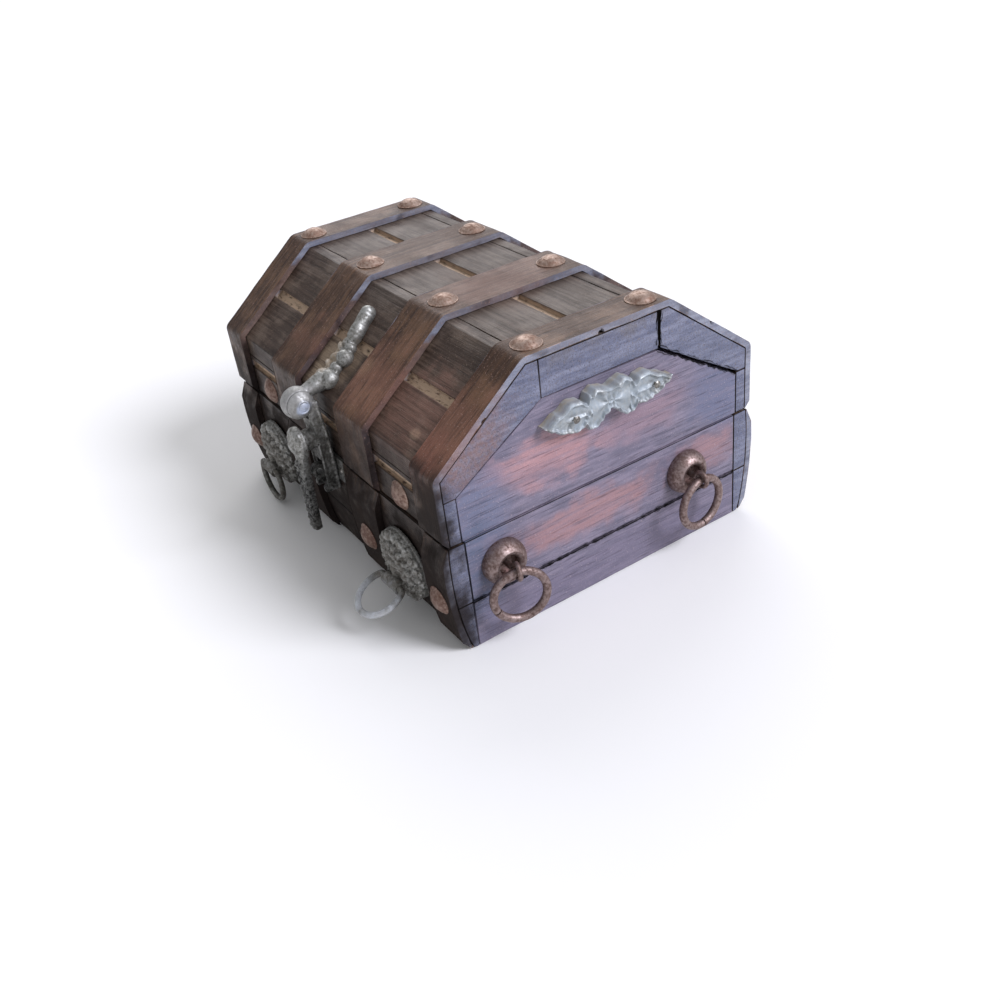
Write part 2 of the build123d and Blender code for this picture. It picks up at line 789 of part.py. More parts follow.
def hasp_casting():
    """Casting nailed to the front slope that carries the middle of the hinge ball."""
    shape = finger() + block(
        (-casting_half_width, casting_half_width),
        (casting_start, casting_end - finger_length + finger_radius),
        (0, casting_thickness),
    )
    for side in (-1, 1):
        shape = shape + bead(side * large_bead_spread, large_bead_place, large_bead_radius)
        shape = shape + bead(side * small_bead_spread, small_bead_place, small_bead_radius)
    casting = slope_plane(0) * shape
    casting = drilled(casting, casting_nail_places, nail_shank_radius, overrun, casting_thickness)
    foot = slope_plane(large_bead_place).origin
    rise = foot.Z - hasp_axis_height
    run = foot.Y + hasp_axis_reach
    tilt = math.degrees(math.atan2(rise, run))
    neck = Rot(tilt, 0, 0) * block(
        (-hasp_knuckle_width / 2, hasp_knuckle_width / 2),
        (hasp_ball_radius / 2, math.hypot(rise, run)),
        (0, neck_thickness),
    )
    knuckle = ball_slice(-hasp_knuckle_width / 2, hasp_knuckle_width / 2, hasp_pin_radius)
    return casting + hasp_axis * (knuckle + neck)


def hasp_pin():
    """Headed pin through the hinge ball."""
    head = hasp_pin_clearance * 2 + cap_half_width
    pin = bar(hasp_pin_radius, -head, head, 0, 0)
    for side in (-1, 1):
        cap = dome(hasp_pin_head_radius, hasp_pin_head_height)
        pin = pin + Pos(side * head, 0, 0) * Rot(0, side * 90, 0) * cap
    return hasp_axis * pin


def hasp_arm():
    """Forked arm that swings on the ball and drops over the staple."""
    top = hasp_axis_height
    front = [
        (-arm_top_reach, top),
        (-arm_middle_reach, tongue_axis_height),
        (-arm_tip_reach, arm_tip_height + 2 * arm_curl_height),
        (-arm_curl_reach, arm_tip_height + arm_curl_height),
        (-arm_curl_reach, arm_tip_height),
    ]
    back = [
        (-arm_tip_reach + arm_thickness, arm_tip_height),
        (-arm_middle_reach + arm_thickness, tongue_axis_height),
        (-arm_top_reach + arm_thickness, top),
    ]
    arm = slab(front + back, -arm_width / 2, arm_width / 2)
    gap_half_width = hasp_knuckle_width / 2 + hasp_knuckle_gap
    arm = arm - hasp_axis * bar(
        hasp_ball_radius + hasp_knuckle_gap, -gap_half_width, gap_half_width, 0, 0
    )
    arm = arm + hasp_axis * ball_slice(gap_half_width, cap_half_width, hasp_bore)
    arm = arm + hasp_axis * ball_slice(-cap_half_width, -gap_half_width, hasp_bore)
    slot = block(
        (-fork_width / 2, fork_width / 2),
        (-arm_curl_reach - overrun, 0),
        (arm_tip_height - overrun, fork_top_height),
    )
    arm = arm - slot
    boss_end = tongue_back_reach - tongue_play
    boss_plane = wall_plane(0, tongue_axis_height, boss_end)
    boss = boss_plane * peg(tongue_boss_radius, boss_end - arm_middle_reach + arm_thickness / 2)
    return arm + boss - boss_plane * peg(rivet_radius, rivet_grip)


def tongue_rivet():
    """Headed rivet that the tongue swings on."""
    boss_end = tongue_back_reach - tongue_play
    head_reach = tongue_back_reach + tongue_thickness + tongue_play
    face = wall_plane(0, tongue_axis_height, head_reach)
    shank = peg(rivet_radius, head_reach - boss_end + rivet_grip)
    return face * (shank + dome(rivet_head_radius, rivet_head_height))


def hasp_tongue():
    """Long cast tongue with a round head, hanging in front of the arm."""
    points = [
        (-tongue_neck_half_width, 0),
        (-tongue_neck_half_width, -tongue_neck_drop),
        (-tongue_tip_half_width, -tongue_length),
        (tongue_tip_half_width, -tongue_length),
        (tongue_neck_half_width, -tongue_neck_drop),
        (tongue_neck_half_width, 0),
    ]
    outline = make_face(Polyline(*points, close=True)) + Circle(tongue_head_radius)
    tongue = extrude(outline, amount=tongue_thickness)
    front = tongue.faces().sort_by(Axis.Z)[-1]
    tongue = fillet(front.edges(), tongue_edge_radius)
    hole = rivet_radius + rivet_clearance
    tongue = tongue - peg_up(hole, tongue_thickness)
    return wall_plane(0, tongue_axis_height, tongue_back_reach) * tongue


def staple():
    """Rounded lug seated in the small plate and bored for a peg or a small padlock."""
    nose = staple_reach - staple_rise / 2
    x_span = (-staple_width / 2, staple_width / 2)
    back = base_face(staple_height, strap_thickness + staple_plate_thickness / 2)
    z_span = (staple_height - staple_rise / 2, staple_height + staple_rise / 2)
    lug = block(x_span, (-nose, -back), z_span)
    lug = lug + bar(staple_rise / 2, *x_span, -nose, staple_height)
    return lug - bar(staple_eye_radius, -staple_width, staple_width, -nose, staple_height)


def staple_backing():
    """Small nailed plate with a shallow seat for the lug's root."""
    plate = staple_plate() - staple()
    return drilled(plate, staple_nail_places, nail_shank_radius, overrun, staple_plate_thickness)


# Butt hinges at the back
knuckle_length = (hinge_width - 2 * hinge_knuckle_clearance) / 3


def hinge_leaf(x, side):
    """Lower leaf (side -1, two knuckles) or upper leaf (side 1, one knuckle)."""
    leaf_back = board_reach + hinge_seat_gap
    y_span = (leaf_back, leaf_back + hinge_leaf_thickness)
    near_edge = hinge_axis_height + side * hinge_leaf_offset
    far_edge = near_edge + side * hinge_leaf_height
    x_span = (x - hinge_width / 2, x + hinge_width / 2)
    leaf = block(x_span, y_span, (near_edge, far_edge))
    if side > 0:
        spans = [(x - knuckle_length / 2, x + knuckle_length / 2)]
    else:
        spans = [(x_span[0], x_span[0] + knuckle_length), (x_span[1] - knuckle_length, x_span[1])]
    for span in spans:
        leaf = leaf + block(span, y_span, (hinge_axis_height, near_edge))
        leaf = leaf + bar(hinge_knuckle_radius, *span, hinge_axis_reach, hinge_axis_height)
    bore = hinge_pin_radius
    if side > 0:
        bore = bore + hinge_pin_clearance
    leaf = leaf - bar(bore, *x_span, hinge_axis_reach, hinge_axis_height)
    return drilled(leaf, screw_places(side), screw_shank_radius, overrun, hinge_leaf_thickness)


def hinge_pin(x):
    """Plain pin through the three knuckles."""
    return bar(
        hinge_pin_radius, x - hinge_width / 2, x + hinge_width / 2, hinge_axis_reach, hinge_axis_height
    )


def screws(side):
    """Round-headed screws of the lower or upper leaves."""
    shank = peg(screw_shank_radius, hinge_leaf_thickness + screw_grip)
    screw = dome(screw_head_radius, screw_head_height) + shank
    return [place * Pos(0, 0, hinge_leaf_thickness) * screw for place in screw_places(side)]


# Base
save(base_floor(), "base_floor")
for side, name in ((-1, "front"), (1, "back")):
    save(base_board(side, 0, base_tier_height), "base_" + name + "_lower")
    save(base_board(side, base_tier_height, base_height), "base_" + name + "_upper")
    save(base_straps(side), "base_" + name + "_straps")
    save(tacks(base_tack_places[side], base_tack_shank_length), "base_" + name + "_tacks")
for side, name in ((-1, "left"), (1, "right")):
    save(base_end(side, 0, base_tier_height), "base_" + name + "_lower")
    save(base_end(side, base_tier_height, base_height), "base_" + name + "_upper")

# Lid
save(lid_top(), "lid_top_plank")
for side, name in ((-1, "front"), (1, "back")):
    save(lid_board(side), "lid_" + name + "_board")
    save(lid_slope(side), "lid_" + name + "_slope")
for side, name in ((-1, "left"), (1, "right")):
    save(lid_end(side), "lid_" + name + "_end")
    save(end_ornament(side), "end_ornament_" + name)
for index in range(len(strap_spans)):
    save(lid_strap(index), "lid_strap_" + str(index + 1))
save(tacks(top_tack_places, top_tack_shank_length), "lid_top_tacks")
save(tacks(front_tack_places, front_tack_shank_length), "lid_front_tacks")
ornament_nails = [
    nail
    for side in (-1, 1)
    for nail in nails(ornament_nail_places[side], ornament_thickness, nail_grip)
]
save(ornament_nails, "ornament_nails")

# Front plates, drop rings and staple
for index, (name, raised) in enumerate((("left", 0), ("right", raised_drop_angle))):
    save(lion_plate(index), "lion_plate_" + name)
    save(drop_ring(index, raised), "drop_ring_" + name)
save(nails(plate_nail_places, plate_rim_thickness, nail_grip), "lion_plate_nails")
save(staple(), "hasp_staple")
save(staple_backing(), "staple_plate")
save(nails(staple_nail_places, staple_plate_thickness, nail_grip), "hasp_staple_nails")

# Ends
for name, place in boss_places.items():
    save(ring_boss(place), "ring_boss_" + name)
    save(pull_ring(place, ring_split_angles[name], ring_turn_angles[name]), "pull_ring_" + name)
save([ring_eye(place, ring_turn_angles[name]) for name, place in boss_places.items()], "ring_eyes")

# Hasp
save(hasp_casting(), "hasp_casting")
save(nails(casting_nail_places, casting_thickness, nail_grip), "hasp_casting_nails")
save(hasp_pin(), "hasp_pin")
save(hasp_arm(), "hasp_arm")
save(tongue_rivet(), "tongue_rivet")
save(hasp_tongue(), "hasp_tongue")

# Hinges
for x, name in zip(hinge_centres, ("left", "right")):
    save(hinge_leaf(x, -1), "base_hinge_leaf_" + name)
    save(hinge_leaf(x, 1), "lid_hinge_leaf_" + name)
    save(hinge_pin(x), "hinge_pin_" + name)
save(screws(-1), "base_hinge_screws")
save(screws(1), "lid_hinge_screws")
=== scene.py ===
"""Dresses the treasure chest box: worn boards, bent straps, cast mounts and wire rings.

Everything is modelled in millimetres in the frame of the CAD model and scaled to
metres when a piece is finished.
"""

import json
import logging
import math
from dataclasses import dataclass
from enum import Enum
from typing import Callable, Iterable, Sequence

import bmesh
import bpy
from mathutils import Matrix, Vector, noise


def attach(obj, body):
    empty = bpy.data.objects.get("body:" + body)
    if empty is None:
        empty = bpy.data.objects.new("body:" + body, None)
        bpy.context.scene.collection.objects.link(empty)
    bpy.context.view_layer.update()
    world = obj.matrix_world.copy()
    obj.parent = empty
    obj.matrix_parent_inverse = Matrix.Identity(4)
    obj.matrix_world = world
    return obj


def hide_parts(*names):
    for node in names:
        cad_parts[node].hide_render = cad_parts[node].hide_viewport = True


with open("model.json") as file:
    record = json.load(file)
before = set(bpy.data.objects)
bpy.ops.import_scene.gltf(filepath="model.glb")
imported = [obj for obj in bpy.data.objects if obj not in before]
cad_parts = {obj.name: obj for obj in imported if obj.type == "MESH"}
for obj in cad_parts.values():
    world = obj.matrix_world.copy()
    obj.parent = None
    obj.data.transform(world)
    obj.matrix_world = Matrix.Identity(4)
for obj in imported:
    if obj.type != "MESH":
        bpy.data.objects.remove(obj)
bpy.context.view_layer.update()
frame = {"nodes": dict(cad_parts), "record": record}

log = logging.getLogger("chest")

MM = 0.001
Point2 = tuple[float, float]
Point3 = tuple[float, float, float]


def linear(code: str) -> tuple[float, float, float, float]:
    """Turn an sRGB hex value into a linear colour.

    Args:
        code: six hex digits after a hash sign.

    Returns:
        Red, green, blue and alpha.
    """
    channels = [int(code[place:place + 2], 16) / 255 for place in (1, 3, 5)]
    knee, slope, offset, power = 0.04045, 12.92, 0.055, 2.4
    values = [c / slope if c <= knee else ((c + offset) / (1 + offset)) ** power for c in channels]
    return values[0], values[1], values[2], 1.0


def add_node(tree: bpy.types.NodeTree, kind: str, settings: dict, links: dict) -> bpy.types.Node:
    """Add one shader node.

    Args:
        tree: the material's node tree.
        kind: Blender's name of the node type.
        settings: properties by name, and input values by socket name or number.
        links: output sockets by the input they feed.

    Returns:
        The new node.
    """
    node = tree.nodes.new(kind)
    for key, value in settings.items():
        if isinstance(key, str) and hasattr(node, key):
            setattr(node, key, value)
        else:
            node.inputs[key].default_value = value
    for key, source in links.items():
        tree.links.new(source, node.inputs[key])
    return node


class Shader:
    """A node graph in the making, with colours and factors read at object millimetres."""

    def __init__(self, name: str) -> None:
        """Start an empty material and its millimetre coordinates.

        Args:
            name: the material's name.
        """
        self.material = bpy.data.materials.new(name)
        self.material.use_nodes = True
        self.tree = self.material.node_tree
        self.tree.nodes.clear()
        place = add_node(self.tree, "ShaderNodeTexCoord", {}, {})
        scaled = add_node(
            self.tree, "ShaderNodeVectorMath", {"operation": "SCALE", "Scale": 1 / MM},
            {0: place.outputs["Object"]},
        )
        self.place = scaled.outputs[0]

    def stretched(self, sizes: Point3, source: bpy.types.NodeSocket | None = None) -> bpy.types.NodeSocket:
        """Coordinates in which one unit is a given size in millimetres along each axis.

        Args:
            sizes: length of one unit along X, Y and Z.
            source: coordinates to use in place of the piece's own.

        Returns:
            The stretched coordinates.
        """
        node = add_node(
            self.tree, "ShaderNodeVectorMath",
            {"operation": "MULTIPLY", 1: tuple(1 / size for size in sizes)},
            {0: source or self.place},
        )
        return node.outputs[0]

    def cloud(self, sizes: Point3, detail: float = 3.0, rough: float = 0.55) -> bpy.types.NodeSocket:
        """Soft random factor whose features have a given size in millimetres.

        Args:
            sizes: feature size along X, Y and Z.
            detail: octaves of finer noise.
            rough: strength of the finer noise.

        Returns:
            A factor from 0 to 1.
        """
        node = add_node(
            self.tree, "ShaderNodeTexNoise",
            {"Scale": 1.0, "Detail": detail, "Roughness": rough},
            {"Vector": self.stretched(sizes)},
        )
        return node.outputs[0]

    def range(self, source: bpy.types.NodeSocket, low: float, high: float, start: float = 0.0,
              end: float = 1.0) -> bpy.types.NodeSocket:
        """Map a factor from low..high smoothly to start..end.

        Args:
            source: the factor.
            low: value that gives start.
            high: value that gives end.
            start: result at low.
            end: result at high.

        Returns:
            The mapped factor.
        """
        node = add_node(
            self.tree, "ShaderNodeMapRange",
            {"interpolation_type": "SMOOTHSTEP", 1: low, 2: high, 3: start, 4: end},
            {0: source},
        )
        return node.outputs[0]

    def math(self, operation: str, first: bpy.types.NodeSocket,
             second: bpy.types.NodeSocket | float) -> bpy.types.NodeSocket:
        """Combine a factor with another factor or a number.

        Args:
            operation: Blender's name of the operation.
            first: a factor.
            second: another factor, or a number.

        Returns:
            The result.
        """
        settings = {"operation": operation, "use_clamp": False}
        links = {0: first}
        if isinstance(second, (int, float)):
            settings[1] = second
        else:
            links[1] = second
        return add_node(self.tree, "ShaderNodeMath", settings, links).outputs[0]

    def mix(self, factor: bpy.types.NodeSocket, below: bpy.types.NodeSocket | str,
            above: bpy.types.NodeSocket | str, blend: str = "MIX") -> bpy.types.NodeSocket:
        """Lay one colour over another, each a socket or a hex value.

        Args:
            factor: how much of the upper colour shows.
            below: the lower colour.
            above: the upper colour.
            blend: Blender's name of the blend.

        Returns:
            The mixed colour.
        """
        settings = {"data_type": "RGBA", "blend_type": blend, "clamp_factor": True}
        links = {0: factor}
        for socket, colour in ((6, below), (7, above)):
            if isinstance(colour, str):
                settings[socket] = linear(colour)
            else:
                links[socket] = colour
        return add_node(self.tree, "ShaderNodeMix", settings, links).outputs[2]

    def mark(self, name: str) -> bpy.types.NodeSocket:
        """Factor painted on the piece's vertices under a name."""
        return add_node(self.tree, "ShaderNodeAttribute", {"attribute_name": name}, {}).outputs["Fac"]

    def spot(self, centre: Point3, reach: Point3, wobble: bpy.types.NodeSocket) -> bpy.types.NodeSocket:
        """Factor that is 1 in the middle of a soft-edged place and 0 outside it.

        Args:
            centre: middle of the place.
            reach: its half sizes along X, Y and Z.
            wobble: factor that breaks up its rim.

        Returns:
            A factor from 0 to 1.
        """
        moved = add_node(
            self.tree, "ShaderNodeVectorMath", {"operation": "SUBTRACT", 1: centre}, {0: self.place}
        )
        scaled = self.stretched(reach, moved.outputs[0])
        length = add_node(self.tree, "ShaderNodeVectorMath", {"operation": "LENGTH"}, {0: scaled})
        broken = self.math("ADD", length.outputs["Value"], wobble)
        return self.range(broken, 1.25, 0.45)

    def close(self, settings: dict, links: dict, relief: bpy.types.NodeSocket, depth: float) -> bpy.types.Material:
        """Add the surface shader with a bump of a depth in millimetres, and return the material.

        Args:
            settings: values of the surface shader's sockets.
            links: factors and colours by socket.
            relief: height factor of the bump.
            depth: depth of the bump.

        Returns:
            The finished material.
        """
        bump = add_node(
            self.tree, "ShaderNodeBump", {"Strength": 1.0, "Distance": depth * MM}, {"Height": relief}
        )
        links = {**links, "Normal": bump.outputs[0]}
        surface = add_node(self.tree, "ShaderNodeBsdfPrincipled", settings, links)
        add_node(self.tree, "ShaderNodeOutputMaterial", {}, {"Surface": surface.outputs[0]})
        return self.material


@dataclass(frozen=True)
class Patch:
    """A place where the surface is rubbed, faded or dusty, or has painted shade, sheen or reflection."""

    centre: Point3
    reach: Point3
    colour: str
    strength: float = 1.0


class Grain(Enum):
    """Which way the wood's fibres run, as feature sizes in millimetres."""

    ALONG_X = (38.0, 1.3, 1.3)
    ROUND_THE_LID = (1.5, 26.0, 26.0)
    ALONG_Y = (1.3, 34.0, 1.5)


@dataclass(frozen=True)
class WoodFinish:
    """Softwood boards, stained dark and rubbed by hands: satin, with open grain and pale edges."""

    name: str
    grain: Grain
    dark: str
    middle: str
    light: str
    worn: str
    dust: str
    end_dark: str
    end_light: str
    patches: tuple[Patch, ...] = ()
    roughness: float = 0.46
    # Patches of painted shade, kept off the dust and made matt.
    painted_shade: tuple[Patch, ...] = ()

    # Real feature sizes in millimetres, along X, Y and Z.
    stain_patch = (13.0, 11.0, 11.0)
    patch_rim = (7.0, 7.0, 7.0)
    year_rings = (6.0, 11.0, 1.4)
    chips = (2.6, 2.6, 2.6)
    dust_clumps = (2.6, 0.9, 0.9)
    # Dust grains are finer than this; drawn at half a millimetre, so that they show in the render.
    grains = (0.5, 0.5, 0.5)
    # Pores are dashes of about a quarter of a fibre's size.
    pore_share = 0.28
    grain_depth = 0.2

    def material(self) -> bpy.types.Material:
        """Build the node graph.

        Returns:
            The material.
        """
        shader = Shader(self.name)
        sizes = self.grain.value
        fibres = shader.cloud(sizes, 5.0, 0.6)
        pores = shader.cloud(tuple(size * self.pore_share for size in sizes), 2.0)
        blotch = shader.cloud(self.stain_patch, 6.0, 0.62)
        grime = shader.cloud(self.grains, 2.0)
        wobble = shader.range(shader.cloud(self.patch_rim, 4.0), 0.25, 0.75, -0.3, 0.3)
        colour = shader.mix(shader.range(fibres, 0.22, 0.78), self.dark, self.middle)
        mottled = shader.math("ADD", blotch, shader.range(fibres, 0.2, 0.8, -0.1, 0.1))
        colour = shader.mix(shader.range(mottled, 0.42, 0.7), colour, self.light)
        rings = shader.cloud(self.year_rings, 4.0, 0.6)
        # End colours on faces that face along X: end grain with a painted cool reflection of the light from the
        # side.
        end_grain_and_cool_light = shader.mix(shader.range(rings, 0.35, 0.7), self.end_dark, self.end_light)
        colour = shader.mix(shader.mark("sawn"), colour, end_grain_and_cool_light)
        for patch in self.patches:
            spot = shader.spot(patch.centre, patch.reach, wobble)
            streaked = shader.math("MULTIPLY", spot, shader.range(fibres, 0.3, 0.62, 0.4, 1.0))
            colour = shader.mix(shader.math("MULTIPLY", streaked, patch.strength), colour, patch.colour)
        dips = shader.math("MULTIPLY", shader.range(pores, 0.46, 0.28), 0.5)
        colour = shader.mix(dips, colour, self.dark, "MULTIPLY")
        colour = shader.mix(shader.range(grime, 0.35, 0.65, 0.0, 0.22), colour, self.dark)
        colour = shader.mix(shader.range(grime, 0.6, 0.72, 0.0, 0.3), colour, self.worn)
        broken = shader.range(shader.cloud(self.chips, 4.0, 0.65), 0.32, 0.58)
        colour = shader.mix(shader.math("MULTIPLY", shader.mark("worn"), broken), colour, self.worn)
        drift = shader.range(shader.cloud(self.dust_clumps, 3.0), 0.26, 0.5)
        dusty = shader.math("MULTIPLY", shader.mark("dusty"), drift)
        colour = shader.mix(dusty, colour, self.dust)
        clear = shader.range(dusty, 0.0, 0.6, 1.0, 0.0)
        # Painted shade: the shade patches darken the colour where there is no dust and, like the dark seams, make
        # the surface matt.
        seams_and_painted_shade = shader.mark("deep")
        for patch in self.painted_shade:
            spot = shader.math("MULTIPLY", shader.spot(patch.centre, patch.reach, wobble), patch.strength)
            colour = shader.mix(shader.math("MULTIPLY", spot, clear), colour, patch.colour)
            seams_and_painted_shade = shader.math("MAXIMUM", seams_and_painted_shade, spot)
        colour = shader.mix(shader.mark("deep"), colour, "#0b0909")
        rough = shader.range(blotch, 0.3, 0.7, self.roughness + 0.1, self.roughness - 0.06)
        rough = shader.math("ADD", rough, shader.math("MULTIPLY", dusty, 0.35))
        rough = shader.math("MAXIMUM", rough, seams_and_painted_shade)
        relief = shader.math("ADD", fibres, shader.math("MULTIPLY", pores, 0.6))
        relief = shader.math("ADD", relief, shader.math("MULTIPLY", blotch, 1.2))
        relief = shader.math("ADD", relief, shader.math("MULTIPLY", grime, 0.25))
        return shader.close(
            {"Metallic": 0.0, "IOR": 1.5, "Specular IOR Level": 0.2},
            {"Base Color": colour, "Roughness": rough}, relief, self.grain_depth,
        )


@dataclass(frozen=True)
class MetalFinish:
    """Cast or drawn metal with dirt left in its recesses and bright rubbed high places."""

    name: str
    rubbed: str
    bright: str
    dull: str
    recess: str
    roughness: float
    grit: float
    depth: float
    metallic: float = 1.0
    tarnish: str = "#a3967f"
    patches: tuple[Patch, ...] = ()

    # Real feature sizes in millimetres.
    clouding = (3.4, 3.4, 3.4)
    patch_rim = (3.0, 3.0, 3.0)

    def material(self) -> bpy.types.Material:
        """Build the node graph.

        Returns:
            The material.
        """
        shader = Shader(self.name)
        grit = shader.cloud((self.grit, self.grit, self.grit), 3.0, 0.6)
        blotch = shader.cloud(self.clouding, 3.0)
        wobble = shader.range(shader.cloud(self.patch_rim, 3.0), 0.25, 0.75, -0.3, 0.3)
        polish = shader.math("ADD", shader.math("MULTIPLY", grit, 0.6), shader.math("MULTIPLY", blotch, 0.4))
        colour = shader.mix(shader.range(polish, 0.38, 0.64), self.dull, self.bright)
        colour = shader.mix(shader.math("MULTIPLY", shader.mark("worn"), 0.8), colour, self.rubbed)
        pits = shader.range(grit, 0.42, 0.28)
        hollow = shader.math("ADD", shader.mark("deep"), shader.math("MULTIPLY", pits, 0.35))
        colour = shader.mix(hollow, colour, self.recess)
        dusty = shader.mark("dusty")
        colour = shader.mix(dusty, colour, self.tarnish)
        for patch in self.patches:
            spot = shader.math("MULTIPLY", shader.spot(patch.centre, patch.reach, wobble), patch.strength)
            cover = shader.math("MULTIPLY", spot, shader.range(polish, 0.62, 0.4, 0.6, 1.0))
            colour = shader.mix(cover, colour, patch.colour)
            dusty = shader.math("MAXIMUM", dusty, cover)
        metal = shader.range(shader.math("MAXIMUM", dusty, shader.math("MULTIPLY", hollow, 0.6)), 0.0, 1.0,
                             self.metallic, 0.1)
        rough = shader.math("ADD", shader.range(polish, 0.35, 0.65, self.roughness + 0.12, self.roughness - 0.08),
                            shader.math("MULTIPLY", hollow, 0.25))
        return shader.close(
            {}, {"Base Color": colour, "Roughness": rough, "Metallic": metal},
            shader.math("ADD", grit, shader.math("MULTIPLY", blotch, 0.8)), self.depth,
        )


class Workpiece:
    """A mesh in millimetres that becomes one finished object."""

    marks = ("worn", "dusty", "deep", "sawn")

    def __init__(self, name: str) -> None:
        """Start an empty mesh with its painted marks.

        Args:
            name: the finished object's name.
        """
        self.name = name
        self.mesh = bmesh.new()
        self.add_marks()

    def add_marks(self) -> None:
        """Give the vertices the factors that the finishes read."""
        for mark in self.marks:
            if mark not in self.mesh.verts.layers.float:
                self.mesh.verts.layers.float.new(mark)

    def layer(self, mark: str) -> bmesh.types.BMLayerItem:
        """Handle of one painted mark."""
        return self.mesh.verts.layers.float[mark]

    def outline(self, points: Iterable[Point3]) -> bmesh.types.BMFace:
        """Make one flat face from its corners."""
        return self.mesh.faces.new([self.mesh.verts.new(point) for point in points])

    def extrude(self, faces: list[bmesh.types.BMFace], shift: Vector) -> list[bmesh.types.BMVert]:
        """Pull flat faces out to a solid by a shift and return the moved vertices.

        Args:
            faces: flat faces to pull out.
            shift: how far, and which way.

        Returns:
            The moved vertices.
        """
        grown = bmesh.ops.extrude_face_region(self.mesh, geom=faces)["geom"]
        moved = [item for item in grown if isinstance(item, bmesh.types.BMVert)]
        bmesh.ops.translate(self.mesh, vec=shift, verts=moved)
        return moved

    def sink(self, faces: list[bmesh.types.BMFace], shift: Vector) -> list[bmesh.types.BMVert]:
        """Push part of a solid's surface in by a shift and return the moved vertices.

        Args:
            faces: faces to push in.
            shift: how far, and which way.

        Returns:
            The moved vertices.
        """
        moved = self.extrude(faces, shift)
        bmesh.ops.delete(self.mesh, geom=faces, context="FACES_ONLY")
        return moved

    def cut(self, point: Point3, normal: Point3, beyond: float | None = None) -> None:
        """Split every face that a plane crosses, or only those past a place along X.

        Args:
            point: a point of the plane.
            normal: the plane's normal.
            beyond: X past which faces are split, or None for all.
        """
        faces = [f for f in self.mesh.faces if beyond is None or f.calc_center_median().x > beyond]
        edges = {edge for face in faces for edge in face.edges}
        corners = {vertex for face in faces for vertex in face.verts}
        geometry = list(corners) + list(edges) + faces
        bmesh.ops.bisect_plane(self.mesh, geom=geometry, dist=0.01, plane_co=point, plane_no=normal)

    def crossed(self, low: float, high: float, step: float, axis: int) -> None:
        """Split the faces by evenly spaced planes across one axis.

        Args:
            low: start of the span.
            high: end of the span.
            step: aimed-at spacing.
            axis: 0, 1 or 2 for X, Y or Z.
        """
        count = max(1, round((high - low) / step))
        for index in range(1, count):
            point = [0.0, 0.0, 0.0]
            normal = [0.0, 0.0, 0.0]
            point[axis] = low + (high - low) * index / count
            normal[axis] = 1.0
            self.cut(tuple(point), tuple(normal))

    def sharp_edges(self, least: float) -> list[bmesh.types.BMEdge]:
        """Edges between faces that meet at more than an angle in degrees.

        Args:
            least: the angle.

        Returns:
            The edges.
        """
        self.mesh.normal_update()
        limit = math.radians(least)
        return [e for e in self.mesh.edges if len(e.link_faces) == 2 and e.calc_face_angle(0.0) > limit]

    def show_sawn_ends(self) -> None:
        """Paint the faces that were sawn across."""
        self.mesh.normal_update()
        sawn = self.layer("sawn")
        for vertex in self.mesh.verts:
            facing = [abs(face.normal.x) for face in vertex.link_faces]
            vertex[sawn] = 1.0 if sum(facing) > 0.6 * len(facing) else 0.0

    def soften(self, width: float, mark: str, least: float = 28.0, segments: int = 3,
               weight: Callable[[Vector], float] = lambda place: 1.0) -> None:
        """Round the sharp edges and paint a mark on the rounding, weighted by place.

        Args:
            width: width of the rounding.
            mark: mark to paint.
            least: angle in degrees from which an edge counts as sharp.
            segments: faces across the rounding.
            weight: value of the mark by a vertex's place.
        """
        result = bmesh.ops.bevel(
            self.mesh, geom=self.sharp_edges(least), offset=width, offset_type="OFFSET",
            segments=segments, profile=0.5, affect="EDGES", clamp_overlap=True, material=-1,
        )
        rounded = set(result["faces"])
        layer = self.layer(mark)
        for face in result["faces"]:
            for vertex in face.verts:
                if all(other in rounded for other in vertex.link_faces):
                    vertex[layer] = weight(vertex.co)

    def weather(self, depth: float, size: float, chips: float = 0.0) -> None:
        """Wear the surface inwards by smooth noise, with chips along the worn edges.

        Args:
            depth: most wear of the plain surface.
            size: size of the hollows.
            chips: depth of the chips, or 0 for none.
        """
        self.mesh.normal_update()
        worn = self.layer("worn")
        for vertex in self.mesh.verts:
            place = vertex.co / size
            wear = depth * (0.5 + 0.5 * noise.noise(place))
            if chips:
                bite = noise.noise(vertex.co / (size * 0.55) + Vector((7.0, 3.0, 5.0)))
                wear += chips * vertex[worn] * max(0.0, bite - 0.05) * 2.0
            vertex.co -= vertex.normal * wear

    def hammered(self, depth: float, size: float) -> None:
        """Make the surface uneven, half inwards and half outwards.

        Args:
            depth: most height.
            size: size of the dimples.
        """
        self.mesh.normal_update()
        for vertex in self.mesh.verts:
            vertex.co += vertex.normal * depth * noise.noise(vertex.co / size)

    def refine(self, centre: Point3, radius: float, cuts: int) -> None:
        """Split the faces round a point finely enough for a small hole.

        Args:
            centre: the point.
            radius: how far from it faces are split.
            cuts: cuts across each edge.
        """
        middle = Vector(centre)
        near = [f for f in self.mesh.faces if min((v.co - middle).length for v in f.verts) < radius
                or (f.calc_center_median() - middle).length < radius]
        if near:
            parts = bmesh.ops.triangulate(self.mesh, faces=near)["faces"]
            edges = list({edge for face in parts for edge in face.edges})
            bmesh.ops.subdivide_edges(self.mesh, edges=edges, cuts=cuts, use_grid_fill=True)

    def dent(self, centre: Point3, radius: float, depth: Point3, dark: float = 0.0) -> None:
        """Push the vertices near a point by up to a shift, ragged at the rim.

        Args:
            centre: the point.
            radius: how far the dent reaches.
            depth: the shift.
            dark: how dark its floor is painted.
        """
        middle = Vector(centre)
        deep = self.layer("deep")
        for vertex in self.mesh.verts:
            ragged = 1.0 + 0.35 * noise.noise(vertex.co * 1.3)
            share = 1.0 - (vertex.co - middle).length / (radius * ragged)
            if share > 0:
                vertex.co += Vector(depth) * min(1.0, share * 2.2)
                vertex[deep] = max(vertex[deep], min(1.0, share * 4.0) * dark)

